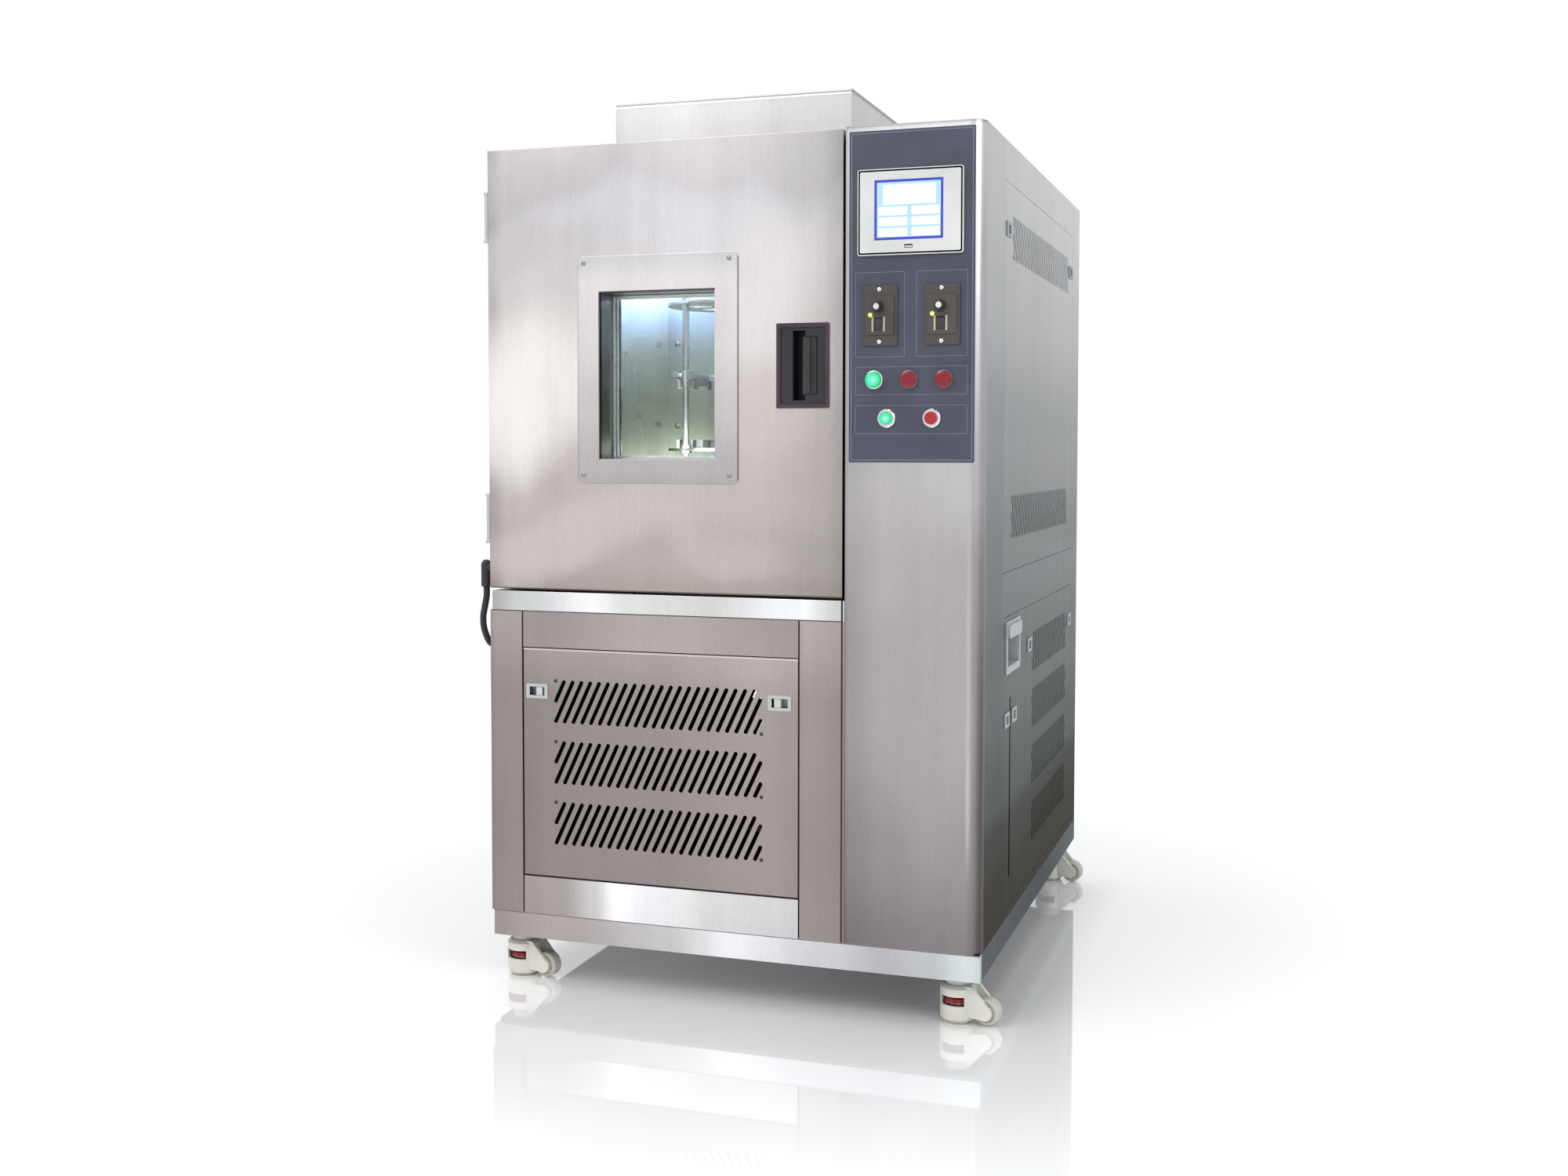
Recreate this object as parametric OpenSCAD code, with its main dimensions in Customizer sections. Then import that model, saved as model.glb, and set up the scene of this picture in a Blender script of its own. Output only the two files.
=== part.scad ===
// Ozone aging test chamber: a floor-standing cabinet with a heated, insulated test space,
// a rotating rack that stretches its specimens, and a control column at the right.
// Lengths are millimetres. Inside the modules x runs from the cabinet's left side,
// y from the front face towards the back, and z from the underside of the base strip.

/* [Cabinet] */
// Width of the cabinet over its side walls
body_w = 845; // [820:1:880]
// Depth of the cabinet from the front face to the rear panel
body_d = 1012; // [980:1:1060]
// Height from the underside of the base strip to the roof
body_h = 1331; // [1315:1:1360]
// Height of the base strip above the floor
stand_h = 78; // [76:0.5:84]
// Thickness of the folded sheets
sheet_t = 1.5; // [1.2:0.1:2]
// Height of the base strip
base_h = 42.6; // [38:0.2:46]
// Width of the control column
column_w = 219.5; // [214:0.5:228]
// Outside radius of the column's bent front corner
bend_r = 22; // [14:1:28]
// Depth of the column's side, back to its seam
seam_y = 163; // [140:1:175]
// Height of the deck over the machine space
deck_z = 556.7; // [550:0.1:562]
// Height of the bright rail between the deck and the door
sill_h = 33; // [28:0.5:38]

/* [Roof box] */
// Distance of the roof box from the left side
box_x = 182; // [160:1:200]
// Width of the roof box
box_w = 418; // [390:1:430]
// Distance of the roof box from the front
box_y = 120; // [100:1:150]
// Depth of the roof box
box_d = 580; // [520:1:620]
// Height of the roof box
box_h = 87; // [80:1:100]
// Radius of the roof box's upper folds
box_r = 8; // [4:1:12]

/* [Front grille and slots] */
// Width of the left post beside the grille
post_w = 60.5; // [54:0.5:66]
// Width of the right post beside the grille
right_post_w = 76; // [70:0.5:84]
// Top of the kick rail
kick_z = 107; // [100:1:114]
// Top of the lift-off grille
grille_z = 496; // [486:1:504]
// Gap around each lift-off panel
panel_gap = 0.75; // [0.5:0.05:0.9]
// Depth of the folded edge of a lift-off panel
panel_fold = 10; // [8:0.5:12]
// Distance from one slot to the next
slot_pitch = 16.1; // [14:0.1:18]
// Width of a slot
slot_w = 6.8; // [5:0.1:7.6]
// Sideways lean of a slot over its height
slot_lean = 31; // [24:1:36]
// Height of a row of slots
slot_row_h = 73; // [66:1:80]
// Distance from one row of slots to the next
slot_row_pitch = 103; // [96:1:108]

/* [Door] */
// Gap between the door and the control column
door_gap = 4.5; // [3.5:0.1:6]
// Thickness of the door without its inner plug
door_t = 66; // [62:1:70]
// Height of the plug on the door's inner side
plug_t = 22; // [16:1:26]
// Thickness of the door gasket
gasket_t = 8; // [6:0.5:10]
// Width of the door gasket
gasket_w = 18; // [14:1:22]
// Distance of the window opening from the door's left edge
window_left = 205.1; // [198:0.1:212]
// Distance of the window opening from the door's right edge
window_right = 214.1; // [206:0.1:222]
// Distance of the window opening from the door's lower edge
window_below = 218.4; // [208:0.1:228]
// Distance of the window opening from the door's upper edge
window_above = 242.7; // [232:0.1:252]
// Width of the window plate at each side of the opening
window_rim = 39.8; // [30:0.2:44]
// Thickness of the window plate
window_plate_t = 2; // [1.5:0.1:3]
// Thickness of a glass pane
glass_t = 5; // [4:0.5:6]
// Radius of the door hinge barrels
hinge_r = 4.5; // [4:0.1:5]
// Radius of the door hinge pin
hinge_pin_r = 2.5; // [2:0.1:3]
// Distance between the two bumps of one hinge
hinge_span = 76; // [70:1:84]

/* [Door handle] */
// Width of the recessed handle frame
handle_w = 87.3; // [82:0.1:92]
// Height of the recessed handle frame
handle_h = 134.4; // [124:0.2:144]
// Distance of the handle frame from the door's right edge
handle_edge = 21.6; // [18:0.2:26]
// Depth of the handle's finger recess
handle_depth = 30; // [26:1:34]
// Height of the pull paddle
paddle_h = 92; // [84:1:98]
// Width of the pull paddle
paddle_w = 23; // [21:0.5:25]

/* [Test space] */
// Thickness of the insulated left wall
wall_left = 76; // [70:1:82]
// Thickness of the insulated right wall
wall_right = 65; // [60:1:70]
// Height of the test space's floor over the deck
floor_t = 103; // [96:1:110]
// Thickness of the insulated ceiling
ceiling_t = 71; // [64:1:78]
// Depth of the test space's back wall, from the front
chamber_back = 720; // [700:1:740]
// Distance of the air baffle in front of the back wall
baffle_gap = 108; // [98:1:116]

/* [Rack] */
// Radius of the rack's round plates
rack_r = 119; // [114:1:126]
// Radius of the circle on which the rack rods stand
rod_circle_r = 110; // [104:1:112]
// Radius of a rack rod
rod_r = 6; // [5:0.5:7]
// Height of the lower plate over the base
rack_low_z = 826; // [815:1:835]
// Height of the upper plate over the base
rack_top_z = 1087; // [1075:1:1100]
// Height of the sliding collars over the base
collar_z = 950; // [940:1:965]
// Radius of the rack's drive shaft
shaft_r = 8; // [7:0.5:9]

/* [Control panel] */
// Width of the control panel
panel_w = 199.5; // [194:0.5:204]
// Height of the control panel
panel_h = 513.3; // [500:0.1:530]
// Distance of the control panel from the column's left edge
panel_x = 6.3; // [5:0.1:7.5]
// Distance of the control panel below the roof
panel_drop = 9.3; // [8:0.1:14]
// Thickness of the control panel
panel_t = 2; // [1.5:0.1:3]
// Width of the touch screen's bezel
screen_w = 167.5; // [160:0.5:172]
// Height of the touch screen's bezel
screen_h = 132.6; // [126:0.2:138]
// Width of a speed controller's front plate
speed_w = 55.5; // [52:0.5:58]
// Height of a speed controller's front plate
speed_h = 93; // [88:0.5:98]
// Radius of a speed knob
knob_r = 9.5; // [8:0.1:11]
// Length of a speed knob
knob_l = 12; // [10:0.5:14]
// Radius of a panel cut-out for a lamp or button
button_hole_r = 11.1; // [10.9:0.1:11.5]
// Radius of a lamp's or button's front ring
button_ring_r = 14.6; // [13.6:0.1:15.6]
// Radius of a push button's cap
button_cap_r = 9.8; // [8.8:0.1:10]

/* [Casters] */
// Distance of the left casters from the left side
caster_left = 36; // [34:1:46]
// Distance of the right casters from the right side
caster_right = 44; // [40:1:50]
// Distance of the casters from the front and the back
caster_end = 49; // [46:1:56]
// Radius of the caster's barrel
barrel_r = 29; // [28:0.5:30]
// Radius of the wheel
wheel_r = 21; // [19:0.5:21.5]
// Width of the wheel
wheel_w = 22; // [18:0.5:23]
// Distance of the axle from the swivel axis
trail = 50; // [49:0.5:53]
// Radius of the axle's boss
boss_r = 12; // [10:0.5:13]
// Direction in which the casters point, degrees from the cabinet's right
caster_turn = -10; // [-30:1:30]
// Radius of the foot pad
foot_r = 23; // [21:0.5:24]

/* [Fits] */
// Radial clearance of a shaft in its bore
run_clear = 0.05; // [0.03:0.01:0.08]
// Clearance between pieces that pass each other
pass_clear = 0.3; // [0.25:0.05:0.4]

/* [Hidden] */
$fn = 48;

// Colours
steel = [0.72, 0.69, 0.68];
bright_steel = [0.82, 0.83, 0.84];
panel_blue = [0.34, 0.36, 0.44];
charcoal = [0.14, 0.14, 0.16];
ivory = [0.88, 0.87, 0.82];
latch_grey = [0.80, 0.82, 0.81];

// Seam between folded sheets that meet
seam = 0.02;

// Door and column edges
column_x = body_w - column_w;
door_w = column_x - door_gap;
door_bottom_gap = 4.3;
door_z = deck_z + sill_h + door_bottom_gap;
door_top = body_h - 3;
flange_y = door_t + gasket_t + pass_clear;

// Window and its plate
win_x0 = window_left;
win_x1 = door_w - window_right;
win_z0 = door_z + window_below;
win_z1 = door_top - window_above;
window_rim_top = 60.3;
window_corner_r = 10;
pane_lap = 7;

// Test space, inside faces of the liner
room_x0 = wall_left;
room_x1 = door_w - wall_right;
room_z0 = deck_z + floor_t;
room_z1 = body_h - ceiling_t;
room_cx = (room_x0 + room_x1) / 2;
baffle_y = chamber_back - baffle_gap;
wall_back = 70;
rack_x = room_cx;
rack_y = 340;

// Door hinge axis, and the middle heights of the two hinges
hinge_cap_r = hinge_r + 1.5;
hinge_x = -hinge_cap_r - pass_clear;
hinge_y = 10;
hinge_low_z = door_z + 117;
hinge_high_z = door_top - 110;
hinge_levels = [hinge_low_z, hinge_high_z];

// Handle
handle_x = door_w - handle_edge - handle_w;
handle_z = (door_z + door_top - handle_h) / 2;
handle_lip = 3;
handle_wall = 3;
handle_inset = 7.5;
finger_x = handle_x + 27.2;
finger_h = 110;
paddle_x1 = handle_x + 67;
paddle_x0 = paddle_x1 - paddle_w;
paddle_z0 = handle_z + (handle_h - paddle_h) / 2;
paddle_pin_x = paddle_x1 - 4;
paddle_pin_y = 7;
paddle_pin_r = 3;

// Front grille
grille_x0 = post_w;
grille_x1 = column_x - right_post_w;
slot_x0 = grille_x0 + 57.5;
slot_x1 = grille_x1 - 61.5;
slot_top_z = grille_z - 54;
catch_w = 39.5;
catch_h = 24.5;
catch_z = grille_z - 62 - catch_h;
catch_left_x = grille_x0 + 7;
catch_right_x = grille_x1 - 12 - catch_w;
catch_out = 2;
catch_travel = 8;
tongue_y = 14.6;
tongue_t = 2.5;
fold_depth = 14;

// Right side
side_x = body_w - sheet_t;
upper_y1 = body_d - 89;
upper_z0 = deck_z + 70;
upper_z1 = body_h - 66;
lower_y0 = seam_y + 22;
lower_y1 = body_d - 79;
lower_z0 = base_h + 18.4;
lower_z1 = deck_z - 5.7;
split_y = lower_y0 + 210;
side_out = 2;

// Machine space, with its units placed from the rear right corner
compressor_x = body_w - 515;
compressor_y = body_d - 252;
condenser_x0 = body_w - 125;
condenser_x1 = body_w - 65;
condenser_y0 = body_d - 562;
condenser_y1 = body_d - 192;
condenser_h = 380;
fan_y = (condenser_y0 + condenser_y1) / 2;
fan_lift = 200;
fan_r = 148;

// Control panel, with its rows of devices at shares of its height
panel_x0 = column_x + panel_x;
panel_z1 = body_h - panel_drop;
panel_z0 = panel_z1 - panel_h;
panel_cx = panel_x0 + panel_w / 2;
screen_x0 = panel_cx - 1.5 - screen_w / 2;
screen_z0 = panel_z1 - 0.117 * panel_h - screen_h;
screen_t = 5;
speed_z = panel_z1 - 0.5562 * panel_h;
speed_offset = 49.3;
speed_t = 3;
speed_face_t = 2;
knob_dx = -2.6;
knob_dz = 13.3;
rocker_dx = -1.9;
rocker_dz = -13.4;
rocker_w = 12;
rocker_r = 10;
rocker_pivot_in = 3;
rocker_tilt = 10;
lamp_z = panel_z1 - 0.7495 * panel_h;
lamp_x = panel_cx - 3.6;
lamp_pitch = 55.5;
button_z = panel_z1 - 0.8664 * panel_h;
button_x = panel_cx - 3.1;
button_pitch = 71.8;
ring_t = 3.5;
cap_out = 8;
cap_travel = 3;
speed_front = panel_t + speed_t + speed_face_t;

// Casters, heights measured down from the base strip
plate_t = 5;
barrel_top = 16;
barrel_bottom = stand_h - 5;
axle_drop = stand_h - 2 - wheel_r;
axle_r = 4;
arm_t = 6;
wheel_edge = 2.5;
arm_in = wheel_w / 2 + 1;
arm_out = arm_in + arm_t;
swivel_pin_r = 8;
foot_screw_r = 5;
foot_travel = 6;
foot_pad_h = 8;
dial_r = 22;
dial_h = 8;
dial_top = 38;
caster_spots = [
    [caster_left, caster_end],
    [body_w - caster_right, caster_end],
    [caster_left, body_d - caster_end],
    [body_w - caster_right, body_d - caster_end]
];

// How far the outermost rigid pieces stand out, which centres the part on its origin
left_out = hinge_cap_r - hinge_x;
right_out = (trail + wheel_r) * cos(caster_turn) + (wheel_w / 2 - wheel_edge) * abs(sin(caster_turn)) - caster_right;
front_out = speed_front + knob_l;
gland_out = 22;
origin_x = -body_w / 2 + (left_out - right_out) / 2;
origin_y = -body_d / 2 + (front_out - gland_out) / 2;

// Lead from the door to the machine space, with its route's points chosen by hand
lead_r = 5.5;
boot_x = -20;
boot_y = 24;
boot_r = 9;
boot_h = 46;
lead_gland_y = 96;
lead_gland_z = 490;
lead_gland_out = 9;
lead_points = [
    [-20, 24, 593.7], [-20, 24, 578], [-24, 25, 560], [-29, 28, 541], [-31, 34, 522],
    [-31, 44, 505], [-32, 56, 494], [-33, 68, 490], [-31, 80, 489.5], [-26, 90, 490],
    [-19, 95.5, 490], [-15, 96, 490], [-12, 96, 490], [-9, 96, 490]
];
lead_sides = 10;
lead_steps = 4;

// Places everything that is measured from the cabinet's corner
module in_place() {
    translate([origin_x, origin_y, stand_h]) children();
}

// Box given by its faces
module block(x0, x1, y0, y1, z0, z1) {
    translate([x0, y0, z0]) cube([x1 - x0, y1 - y0, z1 - z0]);
}

// Outline of a rectangle with round corners
function corner(cx, cy, r, a0, n) = [for (k = [0 : n]) [cx + r * cos(a0 + 90 * k / n), cy + r * sin(a0 + 90 * k / n)]];
function rounded(x0, x1, y0, y1, r, n = 6) = concat(
    corner(x1 - r, y1 - r, r, 0, n), corner(x0 + r, y1 - r, r, 90, n),
    corner(x0 + r, y0 + r, r, 180, n), corner(x1 - r, y0 + r, r, 270, n)
);

// Stands an outline drawn in x and z upright, from y0 to y1
module upright(y0, y1) {
    translate([0, y1, 0]) rotate([90, 0, 0]) linear_extrude(y1 - y0) children();
}

// Stands an outline drawn in y and z upright, from x0 to x1
module sideways(x0, x1) {
    translate([x0, 0, 0]) rotate([90, 0, 90]) linear_extrude(x1 - x0) children();
}

// Plate with round corners that faces the front
module front_plate(x0, x1, y0, y1, z0, z1, r) {
    upright(y0, y1) polygon(rounded(x0, x1, z0, z1, r));
}

// Cylinder along y
module pin_y(x, y0, y1, z, r) {
    translate([x, y0, z]) rotate([-90, 0, 0]) cylinder(r = r, h = y1 - y0);
}

// Cylinder along x
module pin_x(x0, x1, y, z, r) {
    translate([x0, y, z]) rotate([0, 90, 0]) cylinder(r = r, h = x1 - x0);
}

// Slot with round ends between two points
module slot(a, b) {
    run = b - a;
    len = norm(run);
    r = slot_w / 2;
    overlap = 0.04;
    translate(a) rotate(atan2(run[1], run[0])) {
        circle(r = r);
        translate([0, overlap - r]) square([len, 2 * (r - overlap)]);
        translate([len, 0]) circle(r = r);
    }
}

// Row of leaning slots, shortened where they meet the row's ends
module slot_row(x0, x1, top) {
    r = slot_w / 2;
    low = top - slot_row_h + r;
    rise = slot_row_h - slot_w;
    first = -floor(slot_lean / slot_pitch);
    last = floor((x1 - x0 - slot_w) / slot_pitch);
    for (k = [first : last]) {
        start = x0 + r + k * slot_pitch;
        a = max(start, x0 + r);
        b = min(start + slot_lean, x1 - r);
        if (b > a + 0.5) slot(
            [a, low + rise * (a - start) / slot_lean],
            [b, low + rise * (b - start) / slot_lean]
        );
    }
}

// Rows of slots below each other
module slot_rows(x0, x1, top, count) {
    for (k = [0 : count - 1]) slot_row(x0, x1, top - k * slot_row_pitch);
}

// The same rows, leaning the other way
module mirrored_rows(x0, x1, top, count) {
    translate([x0 + x1, 0]) mirror([1, 0]) slot_rows(x0, x1, top, count);
}

// Open tray: a sheet with its four edges folded back
module tray(x0, x1, y0, y1, z0, z1) {
    difference() {
        block(x0, x1, y0, y1, z0, z1);
        block(x0 + sheet_t, x1 - sheet_t, y0 + sheet_t, y1 + 1, z0 + sheet_t, z1 - sheet_t);
    }
}

// Cabinet: base and frames

module base_frame() {
    left_in = 4;
    rail_w = 30;
    wall = 2;
    inner_x0 = left_in + wall + seam;
    inner_x1 = body_w - wall - seam;
    color(bright_steel) in_place() {
        block(left_in, body_w, 0, body_d, 0, wall);
        block(left_in, body_w, 0, wall, wall + seam, base_h);
        block(left_in, body_w, body_d - wall, body_d, wall + seam, base_h);
        block(left_in, left_in + wall, wall + seam, body_d - wall - seam, wall + seam, base_h);
        block(body_w - wall, body_w, wall + seam, body_d - wall - seam, wall + seam, base_h);
        for (y = [body_d / 3, compressor_y - 75, compressor_y + 45])
            block(inner_x0, inner_x1, y, y + rail_w, wall + seam, base_h);
    }
    color(charcoal) in_place() for (spot = caster_spots) translate(spot) caster_plate();
}

module caster_plate() {
    half = 32;
    difference() {
        union() {
            translate([0, 0, -plate_t]) linear_extrude(plate_t) polygon(rounded(-half, half, -half, half, 6));
            translate([0, 0, -30]) cylinder(r = swivel_pin_r, h = 30 - plate_t + 1);
        }
        translate([0, 0, -31]) cylinder(r = foot_screw_r + run_clear, h = 19);
    }
}

module channel(x0, x1, z0, z1) {
    tray(x0, x1, 0, fold_depth, z0, z1);
}

// Rail between the posts, with a tongue behind each seam that shows
module rail(z0, z1) {
    line = 0.5;
    tongue_in = 6;
    channel(grille_x0 + line, grille_x1 - line, z0, z1);
    block(grille_x0, grille_x1, tongue_in, tongue_in + 2, z0 + 5, z1 - 5);
}

module lower_front_frame() {
    line = 0.4;
    color(steel) in_place() {
        channel(0, post_w, base_h, deck_z);
        channel(grille_x1, column_x - line, base_h, deck_z);
        rail(base_h, kick_z);
        rail(grille_z, deck_z);
    }
    color(bright_steel) in_place() tray(4, column_x - line, 0, door_t - 6, deck_z, deck_z + sill_h);
}

module carcass() {
    top = body_h - sheet_t;
    back = body_d - sheet_t;
    inner_top = top - seam;
    color(steel) in_place() {
        block(0, sheet_t, fold_depth, flange_y - seam, base_h, deck_z);
        difference() {
            block(0, sheet_t, flange_y, back, base_h, inner_top);
            pin_x(-1, 3, lead_gland_y, lead_gland_z, 8);
        }
        difference() {
            block(0, column_x, flange_y, body_d, top, body_h);
            translate([rack_x, rack_y, top - 1]) cylinder(r = shaft_r + 2, h = 4);
        }
        block(column_x + seam, body_w, seam_y, body_d, top, body_h);
        block(sheet_t + seam, column_x - sheet_t - seam, flange_y, back, deck_z - sheet_t, deck_z);
        block(column_x - sheet_t, column_x, flange_y, back, deck_z - sheet_t, inner_top);
    }
}

module right_side_frame() {
    color(steel) in_place() sideways(side_x, body_w) difference() {
        translate([seam_y, base_h]) square([body_d - sheet_t - seam_y, body_h - sheet_t - base_h]);
        translate([seam_y - 1, upper_z0 - panel_gap])
            square([upper_y1 + panel_gap - seam_y + 1, upper_z1 - upper_z0 + 2 * panel_gap]);
        translate([lower_y0 - panel_gap, lower_z0 - panel_gap])
            square([lower_y1 - lower_y0 + 2 * panel_gap, lower_z1 - lower_z0 + 2 * panel_gap]);
    }
}

module rear_panel() {
    color(steel) in_place() difference() {
        upright(body_d - sheet_t, body_d) difference() {
            translate([0, base_h]) square([body_w, body_h - sheet_t - base_h]);
            slot_rows(slot_x0, slot_x1, slot_top_z, 3);
        }
        pin_y(body_w - 90, body_d - 3, body_d + 1, base_h + 60, 11);
    }
    // Empty gland for a supply lead
    color(charcoal) in_place() difference() {
        union() {
            pin_y(body_w - 90, body_d - 12, body_d + 1, base_h + 60, 10.5);
            pin_y(body_w - 90, body_d + seam, body_d + gland_out, base_h + 60, 15);
        }
        pin_y(body_w - 90, body_d - 13, body_d + gland_out + 1, base_h + 60, 7);
    }
}

module control_column() {
    back = flange_y - pass_clear;
    top = body_h - sheet_t;
    ease = 0.02;
    color(steel) in_place() {
        difference() {
            union() {
                block(column_x, body_w - bend_r, 0, sheet_t, base_h, top);
                block(column_x, column_x + sheet_t, 0, back, base_h, top);
                block(side_x, body_w, bend_r, seam_y, base_h, top);
                translate([body_w - bend_r, bend_r, base_h]) rotate([0, 0, -90]) rotate_extrude(angle = 90)
                    translate([bend_r - sheet_t + ease, 0]) square([sheet_t - 2 * ease, top - base_h]);
            }
            block(panel_x0 + 8, panel_x0 + panel_w - 8, -1, 3, panel_z0 + 8, panel_z1 - 8);
        }
        translate([0, 0, top + seam]) linear_extrude(sheet_t - seam) polygon(concat(
            [[column_x + seam, seam_y - seam], [column_x + seam, 0]],
            [for (a = [-90 : 10 : 0]) [body_w - bend_r + bend_r * cos(a), bend_r + bend_r * sin(a)]],
            [[body_w, seam_y - seam]]
        ));
    }
}

// Test space

module chamber_liner() {
    flange_edge = 2;
    x0 = room_x0 - sheet_t;
    x1 = room_x1 + sheet_t;
    z0 = room_z0 - sheet_t;
    z1 = room_z1 + sheet_t;
    front = flange_y + sheet_t;
    rim_x0 = sheet_t + seam;
    rim_x1 = column_x - sheet_t - seam;
    rim_z0 = deck_z + seam;
    rim_z1 = body_h - sheet_t - seam;
    color(bright_steel) in_place() {
        block(x0, room_x0, front + seam, chamber_back, z0, z1);
        block(room_x1, x1, front + seam, chamber_back, z0, z1);
        block(room_x0 + seam, room_x1 - seam, front + seam, chamber_back, z0, room_z0);
        difference() {
            block(room_x0 + seam, room_x1 - seam, front + seam, chamber_back, room_z1, z1);
            translate([rack_x, rack_y, room_z1 - 1]) cylinder(r = shaft_r + flange_edge, h = 5);
        }
        difference() {
            block(x0, x1, chamber_back + seam, chamber_back + sheet_t, z0, z1);
            pin_y(rack_x, chamber_back - 1, chamber_back + 3, fan_z(), 12);
        }
        block(rim_x0, room_x0, flange_y, front, rim_z0, rim_z1);
        block(room_x1, rim_x1, flange_y, front, rim_z0, rim_z1);
        block(room_x0 + seam, room_x1 - seam, flange_y, front, rim_z0, room_z0);
        block(room_x0 + seam, room_x1 - seam, flange_y, front, room_z1, rim_z1);
    }
}

function fan_z() = (rack_low_z + rack_top_z) / 2;

module chamber_insulation() {
    front = flange_y + sheet_t;
    color([0.9, 0.85, 0.6]) in_place() difference() {
        block(sheet_t, column_x - sheet_t, front, chamber_back + wall_back, deck_z, body_h - sheet_t);
        block(room_x0 - sheet_t, room_x1 + sheet_t, front - 1, chamber_back + sheet_t,
            room_z0 - sheet_t, room_z1 + sheet_t);
        translate([rack_x, rack_y, room_z1 - 1]) cylinder(r = shaft_r + 4, h = ceiling_t + 5);
        pin_y(rack_x, chamber_back - 1, chamber_back + 80, fan_z(), 14);
    }
}

module air_baffle() {
    fold = 20;
    mouth_r = 70;
    color(bright_steel) in_place() difference() {
        union() {
            block(room_x0, room_x1, baffle_y, baffle_y + sheet_t, room_z0 + 40, room_z1 - 40);
            for (x = [room_x0, room_x1 - sheet_t])
                block(x, x + sheet_t, baffle_y, baffle_y + fold, room_z0 + 40, room_z1 - 40);
        }
        for (a = [0 : 60 : 300]) pin_y(rack_x + 42 * cos(a), baffle_y - 1, baffle_y + 3, fan_z() + 42 * sin(a), 17);
        pin_y(rack_x, baffle_y - 1, baffle_y + 3, fan_z(), 17);
    }
}

function arch(y0, y1, z0, z1, r) = concat(
    [[y0, z0]], [for (a = [180 : -15 : 90]) [y0 + r + r * cos(a), z1 - r + r * sin(a)]],
    [for (a = [90 : -15 : 0]) [y1 - r + r * cos(a), z1 - r + r * sin(a)]], [[y1, z0]]
);

module motor_box() {
    x1 = box_x + box_w;
    y1 = box_y + box_d;
    z1 = body_h + box_h;
    color(bright_steel) in_place() difference() {
        sideways(box_x, x1) polygon(arch(box_y, y1, body_h, z1, box_r));
        sideways(box_x + sheet_t, x1 - sheet_t)
            polygon(arch(box_y + sheet_t, y1 - sheet_t, body_h - 1, z1 - sheet_t, box_r - sheet_t));
    }
}

module drive_motors() {
    deck = body_h;
    motor_y = chamber_back + wall_back;
    color([0.45, 0.47, 0.5]) in_place() {
        // Gear motor that turns the rack
        difference() {
            union() {
                block(rack_x - 45, rack_x + 45, rack_y - 45, rack_y + 45, deck, deck + 34);
                translate([rack_x, rack_y, deck + 34]) cylinder(r = 34, h = 36);
            }
            translate([rack_x, rack_y, deck - 1]) cylinder(r = shaft_r + run_clear, h = 26);
        }
        // Gear motor of the stretching drive
        block(rack_x - 45, rack_x + 45, rack_y + 110, rack_y + 200, deck, deck + 30);
        translate([rack_x, rack_y + 155, deck + 30]) cylinder(r = 32, h = 34);
        // Motor of the circulation fan, on the insulation's back
        difference() {
            union() {
                block(rack_x - 50, rack_x + 50, motor_y, motor_y + 6, fan_z() - 50, fan_z() + 50);
                pin_y(rack_x, motor_y + 6, motor_y + 100, fan_z(), 42);
            }
            pin_y(rack_x, motor_y - 1, motor_y + 40, fan_z(), shaft_r + run_clear);
        }
    }
}

// Front panel

module control_panel() {
    r = 2;
    color(panel_blue) in_place() difference() {
        front_plate(panel_x0, panel_x0 + panel_w, -panel_t, 0, panel_z0, panel_z1, r);
        block(screen_x0 + 8, screen_x0 + screen_w - 8, -3, 1, screen_z0 + 8, screen_z0 + screen_h - 8);
        for (s = [-1, 1]) block(panel_cx + s * speed_offset - 22, panel_cx + s * speed_offset + 22, -3, 1, speed_z - 35, speed_z + 35);
        for (k = [-1 : 1]) pin_y(lamp_x + k * lamp_pitch, -3, 1, lamp_z, button_hole_r);
        for (s = [-1, 1]) pin_y(button_x + s * button_pitch / 2, -3, 1, button_z, button_hole_r);
    }
}

module touch_screen() {
    glass_in = 0.8;
    color([0.82, 0.83, 0.81]) in_place() difference() {
        union() {
            front_plate(screen_x0, screen_x0 + screen_w, -panel_t - screen_t, -panel_t, screen_z0, screen_z0 + screen_h, 4);
            block(screen_x0 + 9, screen_x0 + screen_w - 9, -panel_t - 1, 38, screen_z0 + 9, screen_z0 + screen_h - 9);
        }
        block(screen_x0 + 27, screen_x0 + 136, -panel_t - screen_t - 1, -panel_t - screen_t + glass_in,
            screen_z0 + 23, screen_z0 + 115.5);
    }
}

module speed_controller() {
    face = -panel_t - speed_t;
    color(charcoal) difference() {
        union() {
            front_plate(-speed_w / 2, speed_w / 2, face, -panel_t, -speed_h / 2, speed_h / 2, 2);
            front_plate(-speed_w / 2 + 5, speed_w / 2 - 5, face - speed_face_t, face, -30, 30, 2);
            block(-21, 21, -panel_t - 1, 55, -34, 34);
        }
        pin_y(knob_dx, face - 3, face + 12, knob_dz, 3 + run_clear);
        pin_x(rocker_dx - rocker_w / 2 - pass_clear, rocker_dx + rocker_w / 2 + pass_clear,
            rocker_pivot_in - speed_front, rocker_dz, rocker_r + 0.4);
    }
}

module speed_controllers() {
    in_place() for (s = [-1, 1]) translate([panel_cx + s * speed_offset, 0, speed_z]) speed_controller();
}

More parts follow.
